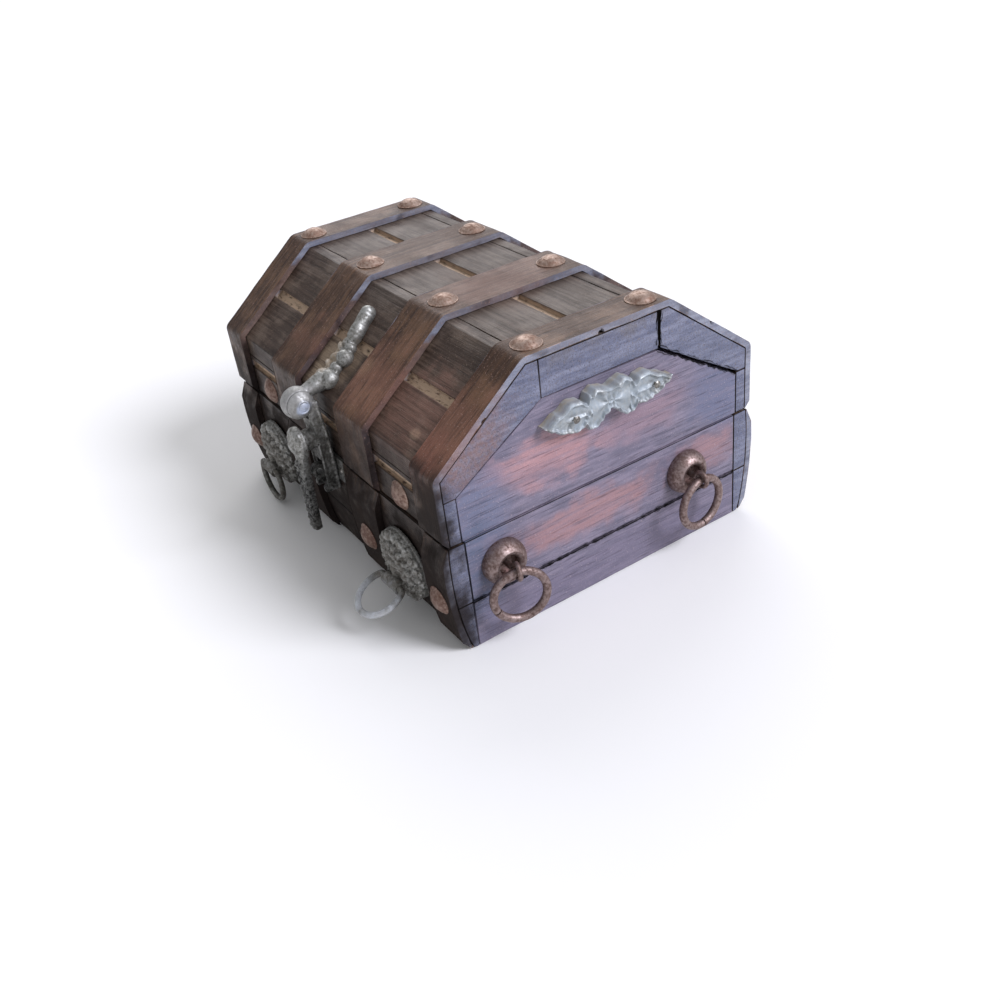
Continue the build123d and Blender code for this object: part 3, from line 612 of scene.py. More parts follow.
    def fuse(self, voxel: float, rounds: int = 1) -> None:
        """Run overlapping closed lumps together into one cast skin.

        Args:
            voxel: size of the finest detail that stays.
            rounds: rounds of smoothing.
        """
        bmesh.ops.recalc_face_normals(self.mesh, faces=self.mesh.faces)
        data = bpy.data.meshes.new("lumps")
        self.mesh.to_mesh(data)
        lumps = bpy.data.objects.new("lumps", data)
        bpy.context.scene.collection.objects.link(lumps)
        skin = lumps.modifiers.new("skin", "REMESH")
        skin.mode = "VOXEL"
        skin.voxel_size = voxel
        graph = bpy.context.evaluated_depsgraph_get()
        fused = lumps.evaluated_get(graph).to_mesh()
        self.mesh.free()
        self.mesh = bmesh.new()
        self.mesh.from_mesh(fused)
        bpy.data.objects.remove(lumps)
        bpy.data.meshes.remove(data)
        self.add_marks()
        for _ in range(rounds):
            bmesh.ops.smooth_vert(
                self.mesh, verts=self.mesh.verts, factor=0.5, use_axis_x=True, use_axis_y=True, use_axis_z=True
            )

    def paint_relief(self, gain: float, rounds: int = 4) -> None:
        """Paint hollows deep and high places worn, spread a little over their neighbours.

        Args:
            gain: how strongly a hollow shows.
            rounds: rounds of spreading.
        """
        self.mesh.normal_update()
        self.mesh.verts.index_update()
        deep, worn = self.layer("deep"), self.layer("worn")
        values = []
        for vertex in self.mesh.verts:
            around = [edge.other_vert(vertex).co for edge in vertex.link_edges]
            middle = sum(around, Vector()) / max(1, len(around))
            values.append((middle - vertex.co).dot(vertex.normal) * gain)
        for _ in range(rounds):
            values = [
                0.4 * values[v.index]
                + 0.6 * sum(values[e.other_vert(v).index] for e in v.link_edges) / max(1, len(v.link_edges))
                for v in self.mesh.verts
            ]
        for vertex in self.mesh.verts:
            vertex[deep] = min(1.0, max(0.0, values[vertex.index]))
            vertex[worn] = min(1.0, max(0.0, -values[vertex.index]))

    def ball(self, centre: Point3, radii: Point3, turn: float = 0.0) -> None:
        """Add an egg-shaped lump, turned in degrees about Z.

        Args:
            centre: its middle.
            radii: its half sizes.
            turn: its turn in degrees.
        """
        place = (
            Matrix.Translation(centre) @ Matrix.Rotation(math.radians(turn), 4, "Z")
            @ Matrix.Diagonal((*radii, 1.0))
        )
        bmesh.ops.create_icosphere(self.mesh, subdivisions=3, radius=1.0, matrix=place)

    def rod(self, start: Point3, end: Point3, radius: float, end_radius: float | None = None) -> None:
        """Add a round bar between two points.

        Args:
            start: middle of one end.
            end: middle of the other end.
            radius: radius at the start.
            end_radius: radius at the end, or None for the same.
        """
        first, last = Vector(start), Vector(end)
        along = last - first
        place = Matrix.Translation((first + last) / 2) @ along.to_track_quat("Z", "Y").to_matrix().to_4x4()
        bmesh.ops.create_cone(
            self.mesh, cap_ends=True, segments=32, radius1=radius,
            radius2=radius if end_radius is None else end_radius, depth=along.length, matrix=place,
        )

    def slab(self, low: Point3, high: Point3) -> None:
        """Add a box between two corners.

        Args:
            low: lowest corner.
            high: highest corner.
        """
        centre = [(a + b) / 2 for a, b in zip(low, high)]
        size = [abs(b - a) for a, b in zip(low, high)]
        place = Matrix.Translation(centre) @ Matrix.Diagonal((*size, 1.0))
        bmesh.ops.create_cube(self.mesh, size=1.0, matrix=place)

    def move(self, place: Matrix) -> None:
        """Carry the whole mesh to its place."""
        bmesh.ops.transform(self.mesh, matrix=place, verts=self.mesh.verts)

    def absorb(self, other: "Workpiece") -> None:
        """Take over another workpiece's mesh.

        Args:
            other: the workpiece, which is used up.
        """
        data = bpy.data.meshes.new("part")
        other.mesh.to_mesh(data)
        other.mesh.free()
        self.mesh.from_mesh(data)
        bpy.data.meshes.remove(data)

    def finish(self, body: str, slot: str, material: bpy.types.Material, replaces: Sequence[str],
               sharp: float = 40.0) -> bpy.types.Object:
        """Turn the mesh into a dressed object that rides on a body.

        Args:
            body: name of the CAD body it moves with.
            slot: the record's material slot; not used.
            material: its finish.
            replaces: CAD nodes that it stands for.
            sharp: angle in degrees past which an edge stays crisp.

        Returns:
            The new object.
        """
        bmesh.ops.recalc_face_normals(self.mesh, faces=self.mesh.faces)
        bmesh.ops.scale(self.mesh, vec=(MM, MM, MM), verts=self.mesh.verts)
        data = bpy.data.meshes.new(self.name)
        self.mesh.to_mesh(data)
        self.mesh.free()
        data.shade_smooth()
        data.set_sharp_from_angle(angle=math.radians(sharp))
        data.materials.append(material)
        piece = bpy.data.objects.new(self.name, data)
        bpy.context.scene.collection.objects.link(piece)
        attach(piece, body)
        if replaces:
            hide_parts(*replaces)
        log.info("%s: %d faces on %s", self.name, len(data.polygons), body)
        return piece


def frame_at(origin: Point3, across: Point3, normal: Point3) -> Matrix:
    """Placing matrix with its X along one direction and its Z along a normal.

    Args:
        origin: the place.
        across: direction of its X.
        normal: direction of its Z.

    Returns:
        The placing matrix.
    """
    z = Vector(normal).normalized()
    x = Vector(across).normalized()
    y = z.cross(x)
    turn = Matrix((x, y, z)).transposed().to_4x4()
    return Matrix.Translation(origin) @ turn


@dataclass(frozen=True)
class CaseSizes:
    """The sizes that the boards, straps and mounts share, in millimetres."""

    half_length: float = 68.75
    wall: float = 55.0
    strap_thickness: float = 2.2
    base_top: float = 35.4
    lid_foot: float = 35.8
    knee: float = 57.0
    top: float = 80.7
    flat: float = 24.55
    bulge_radius: float = 105.0
    bulge_centre: float = 49.0
    bulge_height: float = 26.0
    foot_radius: float = 3.6
    tier: float = 15.5
    floor: float = 5.0
    base_inner: float = 48.4
    lid_inner: float = 49.0
    end_inner: float = 62.75
    plank_edge: float = 20.0
    plank_underside: float = 67.3
    slope_foot: float = 49.5
    strap_spans: tuple[Point2, ...] = ((-68.75, -56.45), (-30.85, -12.65), (12.65, 30.85), (56.45, 68.75))

    @property
    def bays(self) -> list[Point2]:
        """Spans between neighbouring straps."""
        return [(left[1], right[0]) for left, right in zip(self.strap_spans, self.strap_spans[1:])]

    @property
    def board(self) -> float:
        """Distance of the lid boards' upright faces from the middle plane."""
        return self.wall - self.strap_thickness

    def slope(self) -> Vector:
        """Unit direction up the lid's front slope, as (y, z)."""
        return Vector((self.wall - self.flat, self.top - self.knee)).normalized()

    def inner_knee(self) -> Point2:
        """The boards' corner under the straps' knee.

        Returns:
            The corner as (y, z).
        """
        up = self.slope()
        on_line = Vector((-self.wall, self.knee)) + Vector((up.y, -up.x)) * self.strap_thickness
        return -self.board, on_line.y + (-self.board - on_line.x) * up.y / up.x

    def inner_crown(self) -> Point2:
        """The boards' corner under the straps' upper bend.

        Returns:
            The corner as (y, z).
        """
        up = self.slope()
        knee = self.inner_knee()
        height = self.top - self.strap_thickness
        return knee[0] + (height - knee[1]) * up.x / up.y, height

    def face(self, height: float, inset: float = 0.0) -> float:
        """Distance of the base's bulged face from the middle plane at a height."""
        radius = self.bulge_radius - inset
        return math.sqrt(radius ** 2 - (height - self.bulge_height) ** 2) - self.bulge_centre

    def on_base(self, x: float, height: float, inset: float, side: int) -> Matrix:
        """Place on the base's front (side -1) or back (side 1).

        Args:
            x: place along the case.
            height: height on the wall.
            inset: distance in from the outer face.
            side: -1 for the front, 1 for the back.

        Returns:
            A matrix with its Z along the outward normal.
        """
        reach = self.face(height, inset)
        normal = (0.0, side * (reach + self.bulge_centre), height - self.bulge_height)
        return frame_at((x, side * reach, height), (1.0, 0.0, 0.0), normal)

    def on_slope(self) -> Matrix:
        """Place on the front slope's boards at the knee, with Y up the slope.

        Returns:
            A matrix with its Z along the outward normal.
        """
        up = self.slope()
        knee = self.inner_knee()
        return frame_at((0.0, knee[0], knee[1]), (1.0, 0.0, 0.0), (0.0, -up.y, up.x))


SIZES = CaseSizes()

NAIL_HOLES = ((68.75, -37.55, 67.4), (68.75, 0.55, 78.9), (68.75, 39.67, 68.9))


def seam_darkness(place: Vector) -> float:
    """How dark the joint between two boards looks: open at the back and between tiers, filled in front.

    Args:
        place: a vertex's place.

    Returns:
        How dark, from 0 to 1.
    """
    if abs(place.x) < 67.0:
        return 0.3
    y, z = place.y, place.z
    levels = (SIZES.tier, SIZES.base_top, SIZES.lid_foot)
    if min(abs(z - level) for level in levels) < 0.5 or (z > SIZES.plank_underside + 0.5 and abs(y) < 21.0):
        return 1.0
    if z < SIZES.lid_foot:
        outer = SIZES.face(z, SIZES.strap_thickness) - abs(y)
    else:
        up = SIZES.slope()
        knee = SIZES.inner_knee()
        slope_gap = (z - knee[1]) * up.x - (-abs(y) - knee[0]) * up.y
        outer = min(SIZES.board - abs(y), -slope_gap, SIZES.inner_crown()[1] - z)
    if outer < 0.6:
        return 0.75
    return 0.12 if y < -15.0 else 0.9


@dataclass(frozen=True)
class Groove:
    """A saw-cut slot that runs from strap to strap across a board's face."""

    centre: Point2
    along: Point2
    normal: Point2
    width: float = 2.8
    depth: float = 1.5


@dataclass(frozen=True)
class Crack:
    """A joint that has sprung open on the +X end: its line as (y, z) points."""

    line: Sequence[Point2]
    width: float = 0.5
    reach: float = 3.2
    step: float = 0.8

    def open(self, work: Workpiece, section: Sequence[Point2]) -> None:
        """Draw the board's edge back from the line, unevenly.

        Args:
            work: the board.
            section: the board's section, to tell which side of the line it lies on.
        """
        end = SIZES.half_length
        start = end - self.reach
        work.cut((start, 0.0, 0.0), (1.0, 0.0, 0.0))
        inside = sum((Vector(point) for point in section), Vector((0.0, 0.0))) / len(section)
        deep = work.layer("deep")
        for first, last in zip(self.line, self.line[1:]):
            a, b = Vector(first), Vector(last)
            along = (b - a).normalized()
            away = Vector((-along.y, along.x))
            if (inside - a).dot(away) < 0:
                away = -away
            length = (b - a).length
            for row in (0.55, 1.1):
                work.cut((0.0, *(a + away * row)), (0.0, *away), start - 0.5)
            for step in range(1, int(length / self.step)):
                spot = a + along * (step * self.step)
                work.cut((0.0, *spot), (0.0, *along), start - 0.5)
            for vertex in work.mesh.verts:
                place = Vector((vertex.co.y, vertex.co.z)) - a
                if vertex.co.x > start and -0.5 < place.dot(along) < length + 0.5 and abs(place.dot(away)) < 0.45:
                    taper = (vertex.co.x - start) / self.reach
                    ragged = 0.55 + 0.9 * noise.noise(Vector((place.dot(along) * 0.55, first[0], inside.x)))
                    opened = self.width * max(0.0, ragged) * taper
                    vertex.co.y += away.x * opened
                    vertex.co.z += away.y * opened
                    vertex[deep] = max(vertex[deep], min(1.0, opened * 3.0))


@dataclass(frozen=True)
class LeafSeat:
    """A flat place let into the base's back for a hinge's lower leaf."""

    centre_x: float
    half_width: float = 8.2
    foot: float = 24.3
    floor: float = 52.8
    wall: float = 0.06

    def chisel(self, work: Workpiece) -> None:
        """Cut round the seat and push what lies inside back to its floor.

        Args:
            work: the board.
        """
        for side in (-1, 1):
            for extra in (0.0, self.wall):
                work.cut((self.centre_x + side * (self.half_width + extra), 0.0, 0.0), (1.0, 0.0, 0.0))
        for height in (self.foot, self.foot - self.wall):
            work.cut((0.0, 0.0, height), (0.0, 0.0, 1.0))
        middle = self.wall / 2
        for vertex in work.mesh.verts:
            if abs(vertex.co.x - self.centre_x) < self.half_width + middle and vertex.co.z > self.foot - middle:
                vertex.co.y = min(vertex.co.y, self.floor)
        bmesh.ops.remove_doubles(work.mesh, verts=work.mesh.verts, dist=0.001)


@dataclass
class Board:
    """A sawn board: its section as (y, z) points, pulled along X."""

    node: str
    section: Sequence[Point2]
    span: Point2
    grooves: Sequence[Groove] = ()
    edge: float = 0.32
    depth: float = 0.22
    tuck: float = 0.8
    cracks: Sequence[Crack] = ()
    seats: Sequence[LeafSeat] = ()

    def build(self) -> Workpiece:
        """Saw, groove, round and wear the board.

        Returns:
            The finished board.
        """
        work = Workpiece(self.node + "_worn")
        start, end = self.span
        face = work.outline([(start, y, z) for y, z in self.section])
        work.extrude([face], Vector((end - start, 0.0, 0.0)))
        bmesh.ops.recalc_face_normals(work.mesh, faces=work.mesh.faces)
        for groove in self.grooves:
            self.cut_groove(work, groove)
        work.soften(self.edge, "deep", weight=seam_darkness)
        lows = [min(point[axis] for point in self.section) for axis in (0, 1)]
        highs = [max(point[axis] for point in self.section) for axis in (0, 1)]
        work.crossed(start, end, 3.0, 0)
        work.crossed(lows[0], highs[0], 4.0, 1)
        work.crossed(lows[1], highs[1], 4.0, 2)
        work.show_sawn_ends()
        for crack in self.cracks:
            crack.open(work, self.section)
        for seat in self.seats:
            seat.chisel(work)
        work.weather(self.depth, 9.0)
        return work

    def cut_groove(self, work: Workpiece, groove: Groove) -> None:
        """Sink one slot in every bay that the board crosses.

        Args:
            work: the board.
            groove: the slot.
        """
        along = Vector((0.0, *groove.along))
        normal = Vector((0.0, *groove.normal))
        centre = Vector((0.0, *groove.centre))
        for side in (-1, 1):
            work.cut(tuple(centre + along * side * groove.width / 2), tuple(along))
        bays = [(low - self.tuck, high + self.tuck) for low, high in SIZES.bays]
        for bay in bays:
            for x in bay:
                work.cut((x, 0.0, 0.0), (1.0, 0.0, 0.0))
        work.mesh.normal_update()
        dusty = work.layer("dusty")
        for low, high in bays:
            faces = [
                face for face in work.mesh.faces
                if face.normal.dot(normal) > 0.9
                and low < face.calc_center_median().x < high
                and abs((face.calc_center_median() - centre).dot(along)) < groove.width / 2
                and abs((face.calc_center_median() - centre).dot(normal)) < 0.1
            ]
            if faces:
                for vertex in work.sink(faces, -normal * groove.depth):
                    vertex[dusty] = 1.0


@dataclass
class Strap:
    """A slat bent over the boards, with rubbed rims: its side outline as (y, z) points."""

    name: str
    outline: Sequence[Point2]
    knees: Sequence[Point2]
    span: Point2
    centre: Point2
    knee_radius: float = 3.0
    rim: float = 0.62
    inner_wear: float = 0.22
    side_cool_light_share: float = 0.2

    def build(self) -> Workpiece:
        """Saw, bend, round and wear the slat.

        Returns:
            The finished slat.
        """
        work = Workpiece(self.name)
        start, end = self.span
        face = work.outline([(start, y, z) for y, z in self.outline])
        work.extrude([face], Vector((end - start, 0.0, 0.0)))
        bmesh.ops.recalc_face_normals(work.mesh, faces=work.mesh.faces)
        self.bend(work)
        for degrees in range(-60, 121, 2):
            turn = math.radians(degrees)
            work.cut((0.0, *self.centre), (0.0, math.sin(turn), math.cos(turn)))
        work.soften(self.rim, "worn", 34.0)
        worn = work.layer("worn")
        for vertex in work.mesh.verts:
            if vertex.co.x < SIZES.half_length - 1.0:
                vertex[worn] *= self.inner_wear
        work.crossed(start, end, 2.6, 0)
        work.show_sawn_ends()
        # Below the top, the inner straps' sides keep only a little of the end colours and their painted cool
        # reflection.
        sawn = work.layer("sawn")
        for vertex in work.mesh.verts:
            if abs(vertex.co.x) < SIZES.half_length - 1.0 and vertex.co.z < SIZES.inner_crown()[1] - 3.0:
                vertex[sawn] *= self.side_cool_light_share
        work.weather(0.3, 7.0, 0.9)
        return work

    def bend(self, work: Workpiece) -> None:
        """Round the bends where the slat goes over the boards' corners.

        Args:
            work: the slat.
        """
        edges = [
            edge for edge in work.mesh.edges
            if any(
                all(math.hypot(v.co.y - y, v.co.z - z) < 0.01 for v in edge.verts) for y, z in self.knees
            )
        ]
        if edges:
            bmesh.ops.bevel(
                work.mesh, geom=edges, offset=self.knee_radius * 0.42, offset_type="OFFSET", segments=4,
                profile=0.5, affect="EDGES", clamp_overlap=True, material=-1,
            )


def mirrored(points: Sequence[Point2]) -> list[Point2]:
    """The same outline on the other side of the middle plane."""
    return [(-y, z) for y, z in points]


class Carcass:
    """The boards of the base and the lid."""

    def __init__(self, finishes: dict[str, bpy.types.Material]) -> None:
        """Keep the finishes by slot."""
        self.finishes = finishes

    def base_section(self, low: float, high: float) -> list[Point2]:
        """Section of a long base board between two heights, on the back side.

        Args:
            low: lowest height.
            high: highest height.

        Returns:
            The section as (y, z) points.
        """
        sizes = SIZES
        steps = 6
        start = max(low, sizes.foot_radius if low == 0 else low)
        heights = [start + (high - start) * step / steps for step in range(steps + 1)]
        section = [(sizes.face(z, sizes.strap_thickness), z) for z in heights]
        if low == 0:
            foot = sizes.face(0.0) - 0.1
            section = [(foot - 3.4, 0.0), (foot - 2.35, 0.3)] + section
        return section + [(sizes.base_inner, high), (sizes.base_inner, low)]

    def lid_grooves(self, side: int) -> dict[str, Groove]:
        """The slots of the upright board and the slope on one side.

        Args:
            side: -1 for the front, 1 for the back.

        Returns:
            The slots by board.
        """
        up = SIZES.slope()
        knee, crown = Vector(SIZES.inner_knee()), Vector(SIZES.inner_crown())
        middle = (knee + crown) / 2
        upright = Groove((side * SIZES.board, (SIZES.lid_foot + SIZES.knee) / 2), (0.0, 1.0), (side, 0.0))
        slope = Groove((-side * middle.x, middle.y), (-side * up.x, up.y), (side * up.y, up.x))
        return {"upright": upright, "slope": slope}

    def lid_sections(self) -> dict[str, list[Point2]]:
        """Sections of the lid's long boards, on the front side.

        Returns:
            The sections by board, as (y, z) points.
        """
        sizes = SIZES
        knee, crown = sizes.inner_knee(), sizes.inner_crown()
        return {
            "board": [
                (-sizes.board, sizes.lid_foot), (-sizes.board, sizes.slope_foot),
                (-sizes.lid_inner, sizes.slope_foot), (-sizes.lid_inner, sizes.lid_foot),
            ],
            "slope": [
                (-sizes.plank_edge, crown[1]), crown, knee, (-sizes.board, sizes.slope_foot),
                (-sizes.lid_inner, sizes.slope_foot), (-sizes.plank_edge, sizes.plank_underside),
            ],
        }

    def boards(self) -> list[tuple[Board, str, str]]:
        """Every board with its body and slot.

        Returns:
            Each board, its body and its slot.
        """
        sizes = SIZES
        length = (-sizes.half_length, sizes.half_length)
        leaf_seats = tuple(LeafSeat(sum(bay) / 2) for bay in (sizes.bays[0], sizes.bays[-1]))
        found: list[tuple[Board, str, str]] = []
        split = Crack(((20.4, 78.5), (20.0, 67.3), (34.8, 57.9), (49.0, 49.5)), 0.75)
        tier_joint = Crack(((-50.0, sizes.tier), (-36.0, sizes.tier), (40.0, sizes.tier), (50.0, sizes.tier)), 0.5)
        for side, name in ((-1, "front"), (1, "back")):
            for tier, low, high in (("lower", 0.0, sizes.tier), ("upper", sizes.tier, sizes.base_top)):
                section = self.base_section(low, high)
                section = mirrored(section) if side < 0 else section
                seats = leaf_seats if (name, tier) == ("back", "upper") else ()
                board = Board(f"base_{name}_{tier}", section, length, seats=seats)
                found.append((board, "base", "board_wood"))
            grooves = self.lid_grooves(side)
            for part, groove in (("board", "upright"), ("slope", "slope")):
                section = self.lid_sections()[part]
                section = mirrored(section) if side > 0 else section
                cracks = (split,) if side > 0 and part == "slope" else ()
                board = Board(f"lid_{name}_{part}", section, length, (grooves[groove],), cracks=cracks)
                found.append((board, "lid", "board_wood"))
        top = sizes.inner_crown()[1]
        edge = sizes.plank_edge
        section = [(-edge, sizes.plank_underside), (edge, sizes.plank_underside), (edge, top), (-edge, top)]
        groove = Groove((0.0, top), (1.0, 0.0), (0.0, 1.0))
        found.append((Board("lid_top_plank", section, length, (groove,), cracks=(split,)), "lid", "board_wood"))
        panel = [
            (-sizes.lid_inner, sizes.lid_foot), (-sizes.lid_inner, sizes.slope_foot),
            (-edge, sizes.plank_underside), (edge, sizes.plank_underside),
            (sizes.lid_inner, sizes.slope_foot), (sizes.lid_inner, sizes.lid_foot),
        ]
        inner = sizes.base_inner
        for side, name in ((-1, "left"), (1, "right")):
            span = tuple(sorted((side * sizes.end_inner, side * sizes.half_length)))
            cracks = (split,) if side > 0 else ()
            found.append((Board(f"lid_{name}_end", panel, span, edge=0.26, cracks=cracks), "lid", "end_wood"))
            for tier, low, high in (("lower", 0.0, sizes.tier), ("upper", sizes.tier, sizes.base_top)):
                section = [(-inner, low), (inner, low), (inner, high), (-inner, high)]
                cracks = (tier_joint,) if side > 0 else ()
                board = Board(f"base_{name}_{tier}", section, span, edge=0.34, cracks=cracks)
                found.append((board, "base", "end_wood"))
        return found

    def build(self) -> None:
        """Make every board and let it stand for its CAD node."""
        for board, body, slot in self.boards():
            board.build().finish(body, slot, self.finishes[slot], [board.node])


class StrapWork:
    """The slats over the lid and on the base's front and back."""

    def __init__(self, finishes: dict[str, bpy.types.Material]) -> None:
        """Keep the finishes by slot."""
        self.finishes = finishes

    def lid_outline(self) -> tuple[list[Point2], list[Point2]]:
        """Side outline of a lid strap, and its bends.

        Returns:
            The outline, and its bends, as (y, z) points.
        """
        sizes = SIZES
        shoulder = sizes.lid_foot + 2.0
        knee, crown = sizes.inner_knee(), sizes.inner_crown()
        outer = [(sizes.flat, sizes.top), (sizes.wall, sizes.knee)]
        right = outer + [
            (sizes.wall, shoulder), (sizes.wall - 1.8, sizes.lid_foot), (sizes.board, sizes.lid_foot),
            (-knee[0], knee[1]), (-crown[0], crown[1]),
        ]
        return right + mirrored(list(reversed(right))), outer + mirrored(outer)

    def base_outline(self) -> list[Point2]:
        """Side outline of a base strap on the back side.

        Returns:
            The outline as (y, z) points.
        """
        sizes = SIZES
        shoulder = sizes.base_top - 5.0
        steps = 9
        skin = [shoulder - (shoulder - 3.4) * step / steps for step in range(steps + 1)]
        outer = [(sizes.face(sizes.base_top) - 1.8, sizes.base_top)]
        outer += [(sizes.face(z), z) for z in skin]
        foot = sizes.face(0.0)
        outer += [(foot - 0.25, 2.2), (foot - 0.95, 1.1), (foot - 2.1, 0.3)]
        inner = [(sizes.face(z, sizes.strap_thickness), z) for z in reversed(skin[:-1])]
        inner += [(sizes.face(sizes.base_top, sizes.strap_thickness), sizes.base_top)]
        return outer + inner

    def build(self) -> None:
        """Make the eight slats."""
        material = self.finishes["strap_wood"]
        outline, knees = self.lid_outline()
        for index, span in enumerate(SIZES.strap_spans):
            name = f"lid_strap_{index + 1}"
            strap = Strap(name + "_bent", outline, knees, span, (0.0, 30.0))
            work = strap.build()
            if index == 3:
                for place in NAIL_HOLES:
                    work.refine(place, 1.4, 3)
                    work.dent(place, 0.9, (-1.6, 0.0, 0.0), 1.0)
            work.finish("lid", "strap_wood", material, [name])
        for side, name in ((-1, "front"), (1, "back")):
            outline = self.base_outline()
            outline = mirrored(outline) if side < 0 else outline
            joined = Workpiece(f"base_{name}_straps_bent")
            for span in SIZES.strap_spans:
                joined.absorb(Strap("slat", outline, (), span, (-side * 60.0, 20.0)).build())
            joined.finish("base", "strap_wood", material, [f"base_{name}_straps"])


@dataclass
class DomedTacks:
    """Copper tacks: a shallow dome over a thin lip, each a little beaten."""

    radius: float = 4.4
    height: float = 2.2
    lip: float = 0.28

    def dome(self, work: Workpiece, place: Matrix, seed: float) -> None:
        """Spin one tack and set it at a place.

        Args:
            work: the group that the tack joins.
            place: its place on the wood.
            seed: shift of its dents.
        """
        part = Workpiece("tack")
        steps = 9
        crown = self.radius - 0.25
        sphere = (crown ** 2 + (self.height - self.lip) ** 2) / (2 * (self.height - self.lip))
        points = [(0.0, 0.0, 0.0), (self.radius, 0.0, 0.0), (self.radius, 0.0, self.lip * 0.7)]
        for step in range(steps + 1):
            radius = crown * (1 - step / steps)
            points.append((radius, 0.0, math.sqrt(sphere ** 2 - radius ** 2) - sphere + self.height))
        chain = [part.mesh.verts.new(point) for point in points]
        edges = [part.mesh.edges.new(pair) for pair in zip(chain, chain[1:])]
        bmesh.ops.spin(
            part.mesh, geom=chain + edges, cent=(0, 0, 0), axis=(0, 0, 1), angle=math.tau, steps=40,
            use_merge=True,
        )
        bmesh.ops.remove_doubles(part.mesh, verts=part.mesh.verts, dist=0.003)
        for vertex in part.mesh.verts:
            if vertex.co.z > self.lip * 0.5:
                bump = noise.noise(vertex.co * 0.55 + Vector((seed, 0.0, 0.0)))
                vertex.co.z *= 1.0 - 0.09 * (0.5 + 0.5 * bump)
        part.move(place)
        work.absorb(part)

    def build(self, material: bpy.types.Material) -> None:
        """Make the four groups of tacks.

        Args:
            material: the finish.
        """
        centres = [sum(span) / 2 for span in SIZES.strap_spans]
        bays = [sum(span) / 2 for span in (SIZES.bays[0], SIZES.bays[-1])]
        across = (1.0, 0.0, 0.0)
        groups = {
            "lid_top_tacks": [
                frame_at((x, y, SIZES.top - 0.12), across, (0, 0, 1)) for x in centres for y in (-19.0, 19.0)
            ],
            "lid_front_tacks": [frame_at((x, -SIZES.board + 0.1, 40.5), across, (0, -1, 0)) for x in bays],
            "base_front_tacks": [SIZES.on_base(x, 16.4, 0.15, -1) for x in centres],
            "base_back_tacks": [SIZES.on_base(x, 16.4, 0.15, 1) for x in centres],
        }
        for number, (node, places) in enumerate(groups.items()):
            work = Workpiece(node + "_beaten")
            for index, place in enumerate(places):
                self.dome(work, place, number * 11.0 + index * 3.7)
            work.finish(node.split("_")[0], "copper_tacks", material, [node])


@dataclass
class LionPlate:
    """A round cast plate: a lion's face in a curly mane, with a muzzle that holds the ring."""

    side: str
    centre_x: float
    radius: float = 11.5
    height: float = 17.8
    axis_drop: float = 4.2
    axis_reach: float = 6.45

    def lumps(self, work: Workpiece) -> None:
        """Lay out the plate, the mane and the face as overlapping lumps.

        Args:
            work: the plate.
        """
        work.rod((0, 0, 0), (0, 0, 2.2), self.radius, self.radius - 0.1)
        work.rod((0, 0, 2.0), (0, 0, 3.0), self.radius - 0.2, self.radius - 1.3)
        work.ball((0, 0.3, 2.2), (8.6, 8.6, 2.7))
        for index in range(20):
            turn = index * math.tau / 20
            work.ball(
                (9.6 * math.cos(turn), 9.6 * math.sin(turn), 2.7), (2.0, 1.25, 1.05), math.degrees(turn) + 24
            )
        for index in range(15):
            turn = 0.2 + index * math.tau / 15
            if math.sin(turn) > -0.75:
                work.ball(
                    (6.9 * math.cos(turn), 6.9 * math.sin(turn) + 0.3, 3.8), (1.75, 1.1, 1.15),
                    math.degrees(turn) - 30,
                )
        for index in range(7):
            turn = math.radians(25 + index * 21.7)
            work.ball((4.6 * math.cos(turn), 4.6 * math.sin(turn) + 0.9, 4.7), (1.25, 0.9, 0.9), index * 47.0)
        self.face(work)

    def face(self, work: Workpiece) -> None:
        """Brow, eyes, nose, cheeks and muzzle.

        Args:
            work: the plate.
        """
        drop, reach = -self.axis_drop, self.axis_reach
        work.ball((0, 2.3, 4.6), (4.9, 1.15, 1.3))
        work.ball((0, 0.0, 4.6), (1.25, 4.0, 1.6))
        work.ball((0, -2.6, 6.0), (1.5, 1.1, 1.5))
        work.slab((-4.4, drop - 1.7, 1.5), (4.4, drop + 1.7, reach))
        work.rod((-4.4, drop, reach), (4.4, drop, reach), 2.0)
        for mirror in (-1, 1):
            work.ball((mirror * 2.1, drop + 0.3, reach - 0.3), (2.2, 2.3, 2.1))
            work.ball((mirror * 2.5, 1.0, 4.6), (0.95, 0.75, 0.9))
            work.ball((mirror * 4.3, -0.9, 4.0), (1.7, 2.3, 1.4), mirror * 30)
            work.ball((mirror * 6.0, drop - 0.6, 3.4), (2.9, 1.1, 1.3), mirror * 38)
            work.ball((mirror * 4.6, drop - 3.2, 3.3), (3.0, 1.1, 1.3), mirror * -34)
            work.ball((mirror * 2.2, drop - 4.9, 3.2), (2.6, 1.0, 1.1), mirror * 24)
        work.ball((0, drop - 2.8, 4.6), (1.7, 1.3, 1.7))

    def build(self, material: bpy.types.Material) -> None:
        """Cast, pebble and set the plate.

        Args:
            material: the finish.
        """
        work = Workpiece(f"lion_plate_{self.side}_cast")
        self.lumps(work)
        work.fuse(0.2, 1)
        work.mesh.normal_update()
        for vertex in work.mesh.verts:
            if vertex.co.z > 1.0:
                cell = noise.voronoi(vertex.co * 1.7)[0][0]
                curls = min(1.0, max(0.0, (Vector((vertex.co.x, vertex.co.y + 1.0)).length - 4.2) / 1.5))
                lift = 0.17 * curls * (0.5 - cell) + 0.1 * noise.noise(vertex.co * 0.8)
                vertex.co += vertex.normal * (lift - 0.12)
        work.paint_relief(10.0, 2)
        work.move(SIZES.on_base(self.centre_x, self.height, SIZES.strap_thickness, -1))
        name = f"lion_plate_{self.side}"
        work.finish("base", "cast_pewter", material, [name], 60.0)


